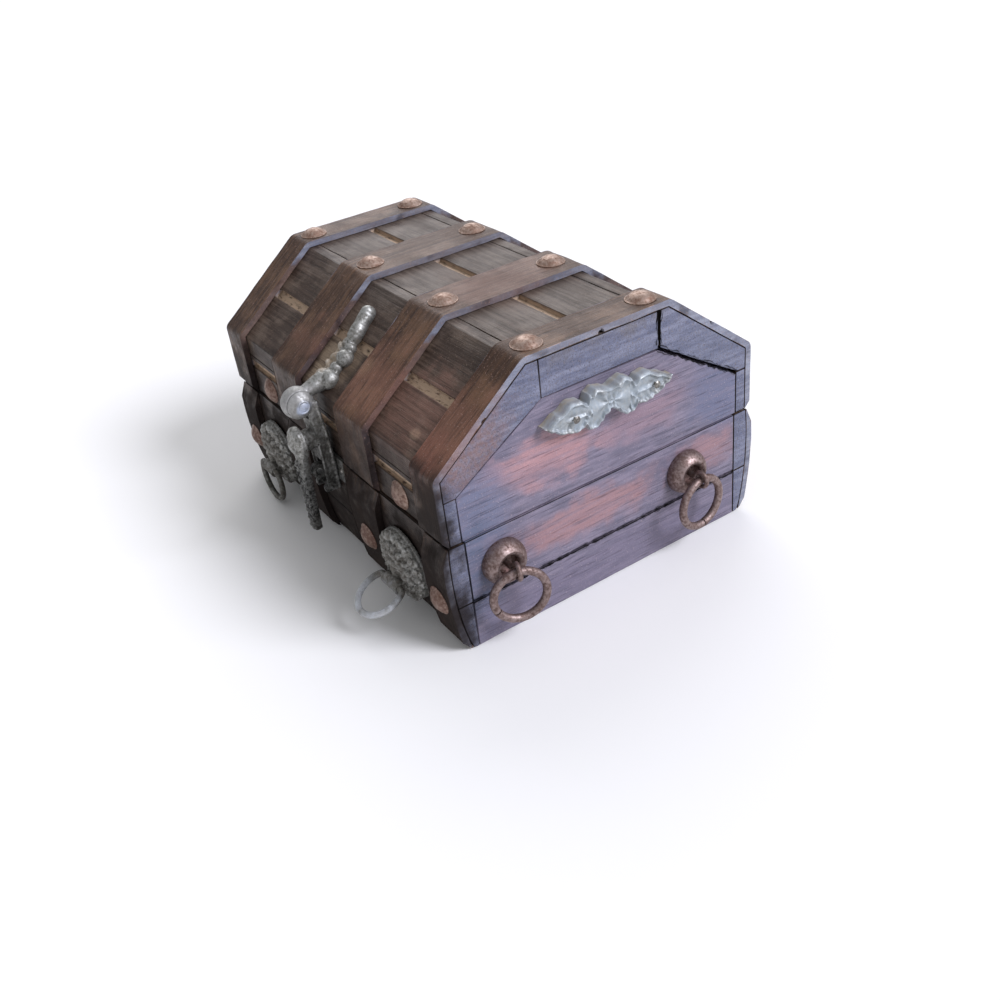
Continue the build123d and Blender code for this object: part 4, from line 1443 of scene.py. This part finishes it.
@dataclass
class EndOrnament:
    """A cast ornament of two veined leaves that meet at a knot."""

    side: int
    half_length: float = 21.8
    half_height: float = 6.0
    height: float = 59.9
    shift: float = -0.1
    thickness: float = 4.6

    upper = ((0.0, 0.72), (0.11, 0.88), (0.22, 0.98), (0.32, 0.80), (0.37, 0.45), (0.47, 0.70), (0.58, 0.75),
             (0.78, 0.40), (1.00, 0.02))
    lower = ((0.0, -0.36), (0.11, -0.50), (0.16, -0.77), (0.25, -1.00), (0.35, -0.93), (0.41, -0.58),
             (0.45, -0.73), (0.56, -0.77), (0.74, -0.60), (0.91, -0.27), (1.00, 0.0))

    def edge(self, table: Sequence[Point2], share: float) -> float:
        """Height share of the outline at a length share, rounded between its corners.

        Args:
            table: corners as (length share, height share).
            share: the length share.

        Returns:
            The height share.
        """
        for (a, low), (b, high) in zip(table, table[1:]):
            if share <= b:
                part = (share - a) / (b - a)
                return low + (high - low) * part * part * (3 - 2 * part)
        return table[-1][1]

    def relief(self, x: float, y: float, low: float, high: float) -> float:
        """Height of the casting's face over the panel: rimmed leaves, a star of folds, scrolls.

        Args:
            x: place along the ornament.
            y: place across it.
            low: lower edge at x.
            high: upper edge at x.

        Returns:
            The height.
        """
        share = abs(x) / self.half_length
        middle = (low + high) / 2
        across = (y - middle) / max(0.4, (high - low) / 2)
        to_edge = (1 - abs(across)) * (high - low) / 2
        rim = math.exp(-((to_edge - 0.75) / 0.5) ** 2)
        height = 3.3 + 0.7 * rim
        if share > 0.3:
            vein_y = middle + 0.25 * math.sin(share * 9.0)
            height += 0.75 * math.exp(-((y - vein_y) / 0.55) ** 2) * (1 - min(1.0, max(0.0, share - 0.62) / 0.1))
            ribs = math.cos(math.tau * (abs(x) - 0.5 * (vein_y - y)) / 2.4)
            if y < vein_y - 0.7:
                height += 0.18 * ribs
            height += 0.5 * math.exp(-((share - 0.42) / 0.05) ** 2 - ((across - 0.45) / 0.3) ** 2)
        else:
            turn = math.atan2(y - 0.3, abs(x) - 1.0)
            reach = math.hypot(y - 0.3, abs(x) - 1.0)
            height += 0.35 * math.cos(turn * 5.0 + 0.6) * min(1.0, reach / 1.5)
            for place in (0.13, 0.27):
                lobe_x = place * self.half_length
                lobe_y = self.edge(self.upper, place) * self.half_height - 1.3
                height += 0.9 * math.exp(-((abs(x) - lobe_x) / 0.9) ** 2 - ((y - lobe_y) / 1.0) ** 2)
        fall = max(0.0, 0.25 - to_edge) / 0.25
        return min(self.thickness - 0.05, height - 0.35 * fall * fall)

    def build(self, material: bpy.types.Material) -> None:
        """Shape a grid to the outline, raise its relief and close its back.

        Args:
            material: the finish.
        """
        name = "right" if self.side > 0 else "left"
        work = Workpiece(f"end_ornament_{name}_cast")
        bmesh.ops.create_grid(work.mesh, x_segments=230, y_segments=56, size=1.0)
        for vertex in work.mesh.verts:
            share, part = vertex.co.x, (vertex.co.y + 1) / 2
            low = self.edge(self.lower, abs(share)) * self.half_height
            high = max(low + 0.25, self.edge(self.upper, abs(share)) * self.half_height)
            x, y = share * self.half_length, low + (high - low) * part
            vertex.co = Vector((x, y, self.relief(x, y, low, high)))
        for drop in (0.4, 0.0):
            rim = [edge for edge in work.mesh.edges if edge.is_boundary]
            for item in bmesh.ops.extrude_edge_only(work.mesh, edges=rim)["geom"]:
                if isinstance(item, bmesh.types.BMVert):
                    item.co.z *= drop
        bmesh.ops.holes_fill(work.mesh, edges=[edge for edge in work.mesh.edges if edge.is_boundary])
        bmesh.ops.remove_doubles(work.mesh, verts=work.mesh.verts, dist=0.01)
        bmesh.ops.triangulate(work.mesh, faces=[f for f in work.mesh.faces if len(f.verts) > 4])
        bmesh.ops.recalc_face_normals(work.mesh, faces=work.mesh.faces)
        work.hammered(0.06, 0.9)
        work.paint_relief(16.0, 2)
        dusty = work.layer("dusty")
        for vertex in work.mesh.verts:
            vertex[dusty] = min(1.0, max(0.0, (3.2 - vertex.co.z) / 1.2))
        origin = (self.side * SIZES.half_length, self.shift, self.height)
        work.move(frame_at(origin, (0.0, float(self.side), 0.0), (float(self.side), 0.0, 0.0)))
        work.finish("lid", "cast_pewter", material, [f"end_ornament_{name}"], 42.0)


@dataclass
class Hasp:
    """The drop hasp: casting on the slope, forked arm on a ball hinge, scaly tongue."""

    axis_y: float = -60.3
    axis_z: float = 55.6
    ball: float = 4.9
    knuckle: float = 2.0
    gap: float = 0.25
    cap: float = 4.5
    arm_half_width: float = 3.8
    tongue_y: float = -62.0
    tongue_z: float = 42.8

    # Beads up the casting: place on the slope (x, y), radius and height.
    beads = ((1.5, 4.9, 3.1, 3.9), (1.9, 12.7, 2.65, 3.8), (1.0, 8.9, 1.9, 3.0), (1.2, 16.0, 1.7, 3.0))
    # Scrolls beside the beads: place, length, width and turn in degrees.
    scrolls = (
        (-2.6, 5.2, 2.3, 1.2, 35), (-2.9, 8.6, 2.2, 1.0, -25), (-2.4, 11.8, 2.4, 1.1, 40),
        (-3.0, 15.0, 2.0, 1.0, -30), (-1.9, 17.6, 2.3, 1.0, 55), (-0.6, 6.6, 1.8, 1.2, 80),
    )

    def ball_slice(self, work: Workpiece, low: float, high: float) -> None:
        """Add the part of the hinge ball between two places along X.

        Args:
            work: the casting that the slice joins.
            low: one end.
            high: the other end.
        """
        part = Workpiece("slice")
        place = Matrix.Translation((0, self.axis_y, self.axis_z)) @ Matrix.Rotation(math.pi / 2, 4, "Y")
        bmesh.ops.create_uvsphere(part.mesh, u_segments=48, v_segments=32, radius=self.ball, matrix=place)
        for x, outwards in ((low, -1.0), (high, 1.0)):
            geometry = part.mesh.verts[:] + part.mesh.edges[:] + part.mesh.faces[:]
            bmesh.ops.bisect_plane(
                part.mesh, geom=geometry, dist=0.001, plane_co=(x, 0, 0), plane_no=(outwards, 0, 0),
                clear_outer=True,
            )
            bmesh.ops.holes_fill(part.mesh, edges=[edge for edge in part.mesh.edges if edge.is_boundary])
        work.absorb(part)

    def ring(self, centre: Point3, axis: Point3, radius: float, wire: float) -> Workpiece:
        """Make a small closed ring about an axis.

        Args:
            centre: its middle.
            axis: its axis.
            radius: radius of the wire's middle line.
            wire: radius of the wire.

        Returns:
            The ring.
        """
        part = Workpiece("ring")
        bmesh.ops.create_circle(part.mesh, segments=12, radius=wire, cap_ends=False)
        turn = Matrix.Rotation(math.pi / 2, 4, "X")
        part.move(Matrix.Translation((radius, 0.0, 0.0)) @ turn)
        bmesh.ops.spin(
            part.mesh, geom=part.mesh.verts[:] + part.mesh.edges[:], cent=(0, 0, 0), axis=(0, 0, 1),
            angle=math.tau, steps=36, use_merge=True,
        )
        bmesh.ops.remove_doubles(part.mesh, verts=part.mesh.verts, dist=0.002)
        part.move(Matrix.Translation(centre) @ Vector(axis).to_track_quat("Z", "Y").to_matrix().to_4x4())
        return part

    def casting(self, material: bpy.types.Material) -> None:
        """Relief plate with a finger and two pairs of beads, reaching down to the ball.

        Args:
            material: the finish.
        """
        work = Workpiece("hasp_casting_cast")
        face = work.outline([
            (-4.6, 2.8, 0.0), (2.6, 2.8, 0.0), (2.9, 8.0, 0.0), (1.6, 10.0, 0.0), (2.6, 13.5, 0.0),
            (1.4, 16.5, 0.0), (2.0, 19.6, 0.0), (-2.4, 19.6, 0.0), (-4.2, 14.0, 0.0), (-3.8, 9.0, 0.0),
        ])
        work.extrude([face], Vector((0.0, 0.0, 1.5)))
        finger_turn = math.radians(11.0)
        foot = Vector((0.0, 19.6, 2.0))
        lean = Vector((-math.sin(finger_turn), math.cos(finger_turn), 0.0))
        for step in range(9):
            share = step / 8
            spot = foot + lean * (8.3 * share)
            swell = 1.0 + 0.05 * math.sin(step * 1.1)
            work.ball((spot.x, spot.y, 1.5), (2.1 * swell, 2.1 * swell, 2.55))
        work.rod((0.0, 16.6, 1.2), tuple(foot), 1.5, 1.7)
        for x, y, radius, tall in self.beads:
            work.ball((x, y, 0.9), (radius, radius, tall - 0.9))
        for x, y, long, wide, turn in self.scrolls:
            work.ball((x, y, 1.3), (long, wide, 1.25), turn)
        work.move(SIZES.on_slope())
        up = SIZES.slope()
        knee = SIZES.inner_knee()
        start = Vector((knee[0] + up.x * 4.0 - up.y * 1.6, knee[1] + up.y * 4.0 + up.x * 1.6))
        work.rod((0.0, start.x, start.y), (0.0, self.axis_y + 2.0, self.axis_z + 2.2), 3.0, 1.9)
        work.ball((-1.6, start.x + 0.6, start.y + 0.4), (2.6, 2.4, 2.4))
        self.ball_slice(work, -self.knuckle, self.knuckle)
        work.fuse(0.22, 1)
        work.hammered(0.1, 1.6)
        work.paint_relief(9.0)
        work.finish("lid", "cast_pewter", material, ["hasp_casting"], 60.0)

    def arm(self, material: bpy.types.Material) -> None:
        """Forked arm with a raised rim on its sides, a notch band and a curled tip.

        Args:
            material: the finish.
        """
        work = Workpiece("hasp_arm_cast")
        front = [(-59.2, 55.6), (-57.8, 42.8), (-57.4, 28.2), (-58.8, 26.6), (-58.8, 25.0)]
        back = [(-54.0, 25.0), (-54.4, 42.8), (-55.8, 55.6)]
        profile = front + back
        for low, high in ((-self.arm_half_width, -2.0), (2.0, self.arm_half_width)):
            face = work.outline([(low, y, z) for y, z in profile])
            work.extrude([face], Vector((high - low, 0.0, 0.0)))
        upper = [(-59.0, 50.2), (-57.8, 42.8), (-57.6, 35.2), (-54.2, 35.2), (-54.4, 42.8), (-55.6, 50.2)]
        face = work.outline([(-2.2, y, z) for y, z in upper])
        work.extrude([face], Vector((4.4, 0.0, 0.0)))
        for mirror in (-1, 1):
            side = mirror * self.arm_half_width
            for (y0, z0), (y1, z1) in zip(back, back[1:]):
                work.rod((side - mirror * 0.25, y0 - 0.3, z0), (side - mirror * 0.25, y1 - 0.3, z1), 0.5)
            work.rod((side - mirror * 0.4, -58.4, 43.0), (side - mirror * 0.4, -54.6, 42.6), 0.75)
            work.rod((side - mirror * 0.3, -57.5, 28.4), (side - mirror * 0.3, -57.9, 41.6), 0.45)
            work.ball((mirror * 2.9, -57.7, 26.0), (0.95, 1.5, 1.2))
        low, high = self.knuckle + self.gap, self.cap
        self.ball_slice(work, low, high)
        self.ball_slice(work, -high, -low)
        for mirror in (-1, 1):
            centre = (mirror * (self.cap - 0.1), self.axis_y, self.axis_z)
            work.absorb(self.ring(centre, (1.0, 0.0, 0.0), 1.75, 0.42))
        work.rod((0.0, -61.85, self.tongue_z), (0.0, -56.5, self.tongue_z), 3.3)
        work.fuse(0.2, 1)
        work.hammered(0.12, 1.3)
        work.paint_relief(9.0)
        work.finish("hasp_arm_body", "cast_pewter", material, ["hasp_arm"], 60.0)

    def tongue(self, material: bpy.types.Material) -> None:
        """Long tongue with a domed head and rows of scales.

        Args:
            material: the finish.
        """
        work = Workpiece("hasp_tongue_cast")
        front = self.tongue_y - 3.0
        back = self.tongue_y
        mid = (front + back) / 2
        work.rod((0, back, self.tongue_z), (0, front + 1.2, self.tongue_z), 5.2)
        work.ball((0, front + 1.4, self.tongue_z), (5.0, 1.7, 5.0))
        face = work.outline([
            (-2.9, back, self.tongue_z), (-2.9, back, 36.5), (-1.7, back, 12.4), (1.7, back, 12.4),
            (2.9, back, 36.5), (2.9, back, self.tongue_z),
        ])
        work.extrude([face], Vector((0.0, -2.0, 0.0)))
        rows = 18
        for row in range(rows):
            share = row / (rows - 1)
            z = 36.0 - 22.6 * share
            half = 2.55 - 1.05 * share
            count = 3 if row % 2 else 2
            for index in range(count):
                x = half * (index - (count - 1) / 2) * (0.92 if count == 3 else 1.15)
                work.ball((x, front + 0.7, z), (0.8, 0.65, 0.72))
            for mirror in (-1, 1):
                work.ball((mirror * (half + 0.1), mid + 0.1, z - 0.6), (0.4, 1.2, 0.6))
        for index in range(11):
            turn = index * math.tau / 11
            work.ball(
                (3.7 * math.cos(turn), front + 0.95, self.tongue_z + 3.7 * math.sin(turn)), (0.95, 0.7, 0.95)
            )
        work.ball((0, mid, 12.9), (1.6, 1.4, 1.0))
        rim = self.ring((0.9, front + 0.35, self.tongue_z - 0.2), (0.3, -1.0, 0.0), 2.3, 0.45)
        work.absorb(rim)
        work.fuse(0.19, 1)
        work.hammered(0.06, 0.9)
        work.paint_relief(9.0)
        work.finish("hasp_tongue_body", "cast_pewter", material, ["hasp_tongue"], 60.0)

    def build(self, material: bpy.types.Material) -> None:
        """Make the three castings.

        Args:
            material: the finish.
        """
        self.casting(material)
        self.arm(material)
        self.tongue(material)


def finishes() -> dict[str, bpy.types.Material]:
    """Every slot's finish.

    Returns:
        The materials by slot.
    """
    # Painted shade: the front below the lid's edge is painted almost black, most of all along the foot.
    shade = "#1b1310"
    painted_shade = (
        Patch((0.0, -58.0, 26.0), (300.0, 8.0, 46.0), shade, 0.6),
        Patch((0.0, -57.0, 10.0), (300.0, 10.0, 36.0), shade, 0.85),
        Patch((66.0, -58.0, 45.0), (15.0, 8.0, 22.0), shade, 0.75),
    )
    # Stained softwood, sawn and wiped: grey-brown, silky along the grain, with a painted grey sheen on top, a
    # painted cool reflection on the back slope by the +X end, and painted shade on the front.
    boards = WoodFinish(
        "stained_plank", Grain.ALONG_X, "#32261f", "#51423a", "#6a5b50", "#a08c7a", "#c6ae96",
        "#666a80", "#83869a",
        (
            Patch((20.0, -2.0, 79.0), (26.0, 9.0, 4.0), "#75503f", 0.35),
            # Painted grey sheen on the top.
            Patch((0.0, 0.0, 79.0), (90.0, 34.0, 6.0), "#6f665e", 0.55),
            # Painted cool reflection on the back slope by the +X end.
            Patch((66.0, 34.0, 60.0), (6.0, 26.0, 12.0), "#666b80", 0.5),
            Patch((49.0, -47.8, 59.8), (2.2, 1.6, 1.6), "#a89078", 0.9),
            Patch((5.0, -42.0, 64.5), (4.5, 8.0, 7.0), "#8d7a66", 0.65),
            Patch((-7.0, -45.0, 62.0), (6.0, 12.0, 11.0), "#a8957f", 0.95),
            Patch((60.0, -44.0, 63.0), (40.0, 16.0, 14.0), "#8a6659", 0.6),
        ),
        0.4,
        painted_shade,
    )
    # The same boards on the ends, with the cool light that falls on them painted in: slate and plum, red where the
    # stain is rubbed.
    ends = WoodFinish(
        "end_board_stain_and_cool_light", Grain.ALONG_Y, "#5d5667", "#7e7487", "#958a9b", "#c4b0b6", "#8f7c5e",
        "#6c6879", "#877f90",
        (
            # Red and plum middles where the stain is rubbed; slate-blue borders of darker stain with a painted
            # cool reflection.
            Patch((68.0, -20.0, 50.0), (9.0, 19.0, 9.0), "#c0908f", 0.75),
            Patch((68.0, 14.0, 50.0), (9.0, 18.0, 9.0), "#9c7f88", 0.6),
            Patch((68.0, -42.0, 42.0), (9.0, 11.0, 12.0), "#6f748c", 0.85),
            Patch((68.0, 42.0, 46.0), (9.0, 14.0, 13.0), "#6a6f88", 0.85),
            Patch((68.0, -8.0, 26.0), (9.0, 28.0, 7.0), "#a9807f", 0.75),
            Patch((68.0, 36.0, 27.0), (9.0, 13.0, 7.0), "#a67f80", 0.75),
            Patch((68.0, -46.0, 22.0), (9.0, 9.0, 18.0), "#5e667c", 0.85),
            Patch((68.0, 0.0, 6.0), (9.0, 60.0, 8.0), "#736c80", 0.7),
        ),
        0.42,
    )
    # Thin slats of redder wood, bent over and handled: satin, with pale rubbed edges, a painted grey sheen on top
    # and painted shade on the front.
    straps = WoodFinish(
        "stained_strap", Grain.ROUND_THE_LID, "#35241d", "#58402f", "#70543f", "#c9a596", "#a08a72",
        "#777b8c", "#9598a6",
        (
            Patch((20.0, 0.0, 80.0), (14.0, 20.0, 4.0), "#84574a", 0.5),
            Patch((60.0, -50.0, 58.0), (9.0, 10.0, 9.0), "#74443a", 0.7),
            # Painted grey sheen on the top.
            Patch((0.0, 0.0, 80.0), (90.0, 30.0, 5.0), "#76665c", 0.45),
            Patch((15.0, -41.5, 64.7), (3.4, 4.0, 4.0), "#8f7c5e", 0.6),
            Patch((50.0, -44.0, 63.0), (75.0, 15.0, 14.0), "#8d6454", 0.6),
        ),
        0.38,
        painted_shade,
    )
    # Sand-cast white metal, unpolished: grey and grainy, black in the hollows, bright on the high places.
    pewter = MetalFinish(
        "cast_pewter", "#cdcecd", "#adadaa", "#85837d", "#221f1b", 0.58, 0.8, 0.03,
        patches=(
            # Tan dust in the scrollwork, and a bluish-white painted cool reflection on the end ornaments.
            Patch((-3.4, -46.0, 61.5), (3.2, 11.0, 10.0), "#a3927d", 0.95),
            Patch((71.0, 0.0, 60.0), (6.0, 26.0, 10.0), "#a3afba", 0.7),
            # Painted shade on the two lion plates, and almost black painted shade round the lock.
            Patch((42.85, -61.0, 16.0), (19.0, 6.0, 20.0), "#574f45", 0.6),
            Patch((-42.85, -61.0, 16.0), (19.0, 6.0, 20.0), "#574f45", 0.6),
            Patch((0.0, -60.0, 20.0), (12.0, 13.0, 23.0), "#0f0e0c", 1.0),
            # The rubbed ball of the hasp, and painted shade on its arm and tongue and on the foot of the front.
            Patch((0.0, -61.5, 57.0), (7.0, 7.0, 7.0), "#a3a2a3", 0.6),
            Patch((0.0, -57.0, 40.0), (6.0, 4.5, 14.0), "#3c3934", 0.7),
            Patch((0.0, -60.0, 8.0), (90.0, 12.0, 9.0), "#3a362f", 0.75),
            # A painted bluish highlight on the end of the ball's pin, and the rubbed drop ring.
            Patch((4.7, -60.3, 55.6), (1.0, 2.4, 2.4), "#b4bfd6", 0.8),
            Patch((42.85, -67.0, 8.0), (15.0, 6.0, 15.0), "#c2c5ca", 1.0),
        ),
    )
    # Bronze wire and cups browned with age: a dull brown-pink gleam.
    bronze = MetalFinish("aged_bronze", "#bbaeae", "#9e8d8a", "#7a6660", "#33231f", 0.56, 0.9, 0.03)
    # Pressed copper heads, hammered in and oxidised: soft pinkish brown, with painted shade on the tacks of the
    # front.
    copper = MetalFinish(
        "copper_tack", "#d3c1b6", "#b39d90", "#8b6f60", "#33231f", 0.48, 0.9, 0.04, 0.75,
        patches=(Patch((0.0, -58.5, 30.0), (200.0, 9.0, 60.0), "#5d3d2f", 0.9),),
    )
    # Drawn steel wire nails: plain grey.
    nails = MetalFinish("small_nail", "#b8b5b0", "#98958f", "#6a6661", "#26221f", 0.45, 0.4, 0.03)
    # Rolled sheet brass, dulled: yellow-brown.
    brass = MetalFinish("hinge_brass", "#bfa36a", "#a88a52", "#7c6236", "#33281a", 0.4, 0.8, 0.03)
    return {
        "board_wood": boards.material(), "end_wood": ends.material(), "strap_wood": straps.material(),
        "cast_pewter": pewter.material(), "aged_bronze": bronze.material(), "copper_tacks": copper.material(),
        "nail_steel": nails.material(), "hinge_brass": brass.material(),
    }


def dress_nodes(by_slot: dict[str, bpy.types.Material]) -> None:
    """Give every CAD node that stays the finish of its slot.

    Args:
        by_slot: the materials by slot.
    """
    for part in frame["record"]["subparts"]:
        node = frame["nodes"][part["node"]]
        node.data.materials.clear()
        node.data.materials.append(by_slot[part["material_slot"]])


@dataclass
class Studio:
    """Pale floor, soft light and the photograph's camera."""

    azimuth: float = 59.8
    elevation: float = 32.98
    roll: float = -7.28
    distance: float = 347.435
    shift: Point2 = (8.8, -41.987)
    aim_height: float = 44.0
    lens: float = 38.652
    sky: float = 0.48

    def camera(self) -> None:
        """Place the camera where the photograph was taken from."""
        a, e, r = (math.radians(value) for value in (self.azimuth, self.elevation, self.roll))
        back = Vector((math.sin(a) * math.cos(e), -math.cos(a) * math.cos(e), math.sin(e)))
        right = Vector((0, 0, 1)).cross(back).normalized()
        up = back.cross(right)
        turned_right = right * math.cos(r) + up * math.sin(r)
        turned_up = up * math.cos(r) - right * math.sin(r)
        place = Vector((0, 0, self.aim_height)) + back * self.distance
        place += turned_right * self.shift[0] + turned_up * self.shift[1]
        data = bpy.data.cameras.new("camera")
        data.lens = self.lens
        data.clip_start, data.clip_end = 0.01, 20.0
        camera = bpy.data.objects.new("camera", data)
        bpy.context.scene.collection.objects.link(camera)
        turn = Matrix((turned_right, turned_up, back)).transposed().to_4x4()
        camera.matrix_world = Matrix.Translation(place * MM) @ turn
        bpy.context.scene.camera = camera

    def sun(self, name: str, towards: Point3, strength: float, spread: float, colour: str) -> None:
        """Shine evenly from a direction, softened over an angle in degrees.

        Args:
            name: the lamp's name.
            towards: direction from the object to the lamp.
            strength: its strength.
            spread: its angle.
            colour: its colour as a hex value.
        """
        data = bpy.data.lights.new(name, "SUN")
        data.energy = strength
        data.angle = math.radians(spread)
        data.color = linear(colour)[:3]
        lamp = bpy.data.objects.new(name, data)
        bpy.context.scene.collection.objects.link(lamp)
        lamp.matrix_world = Vector(towards).to_track_quat("Z", "Y").to_matrix().to_4x4()

    def floor(self) -> None:
        """Lay a wide pale floor."""
        data = bpy.data.meshes.new("floor")
        mesh = bmesh.new()
        bmesh.ops.create_circle(
            mesh, cap_ends=True, segments=64, radius=6.0, matrix=Matrix.Translation((0.0, 0.0, -0.0001))
        )
        mesh.to_mesh(data)
        mesh.free()
        material = bpy.data.materials.new("pale_paper")
        material.use_nodes = True
        surface = material.node_tree.nodes["Principled BSDF"]
        surface.inputs["Base Color"].default_value = linear("#f6f5f3")
        surface.inputs["Roughness"].default_value = 0.9
        data.materials.append(material)
        floor = bpy.data.objects.new("floor", data)
        bpy.context.scene.collection.objects.link(floor)

    def world(self) -> None:
        """Light everything evenly with a pale sky."""
        world = bpy.data.worlds.new("pale_room")
        world.use_nodes = True
        tree = world.node_tree
        tree.nodes.clear()
        sky = add_node(tree, "ShaderNodeBackground", {"Color": linear("#f3f5fa"), "Strength": self.sky}, {})
        paper = add_node(tree, "ShaderNodeBackground", {"Color": (1.0, 1.0, 1.0, 1.0), "Strength": 1.0}, {})
        path = add_node(tree, "ShaderNodeLightPath", {}, {})
        seen = add_node(
            tree, "ShaderNodeMixShader", {},
            {0: path.outputs["Is Camera Ray"], 1: sky.outputs[0], 2: paper.outputs[0]},
        )
        add_node(tree, "ShaderNodeOutputWorld", {}, {"Surface": seen.outputs[0]})
        bpy.context.scene.world = world

    def build(self) -> None:
        """Set up camera, light and floor."""
        self.camera()
        self.floor()
        self.world()
        self.sun("window", (0.66, 0.42, 0.62), 3.0, 26.0, "#f3f4ff")
        self.sun("bright_wall", (-0.72, 0.42, 0.6), 1.15, 50.0, "#fdfcff")
        bpy.context.scene.view_settings.view_transform = "Standard"


def main() -> None:
    """Build the studio and dress the chest."""
    logging.basicConfig(level=logging.INFO, format="%(name)s: %(message)s")
    by_slot = finishes()
    Studio().build()
    dress_nodes(by_slot)
    Carcass(by_slot).build()
    StrapWork(by_slot).build()
    DomedTacks().build(by_slot["copper_tacks"])
    for side, centre in (("left", -43.65), ("right", 42.85)):
        LionPlate(side, centre).build(by_slot["cast_pewter"])
    for side in (-1, 1):
        EndOrnament(side).build(by_slot["cast_pewter"])
    Hasp().build(by_slot["cast_pewter"])


if __name__ == "__main__":
    main()
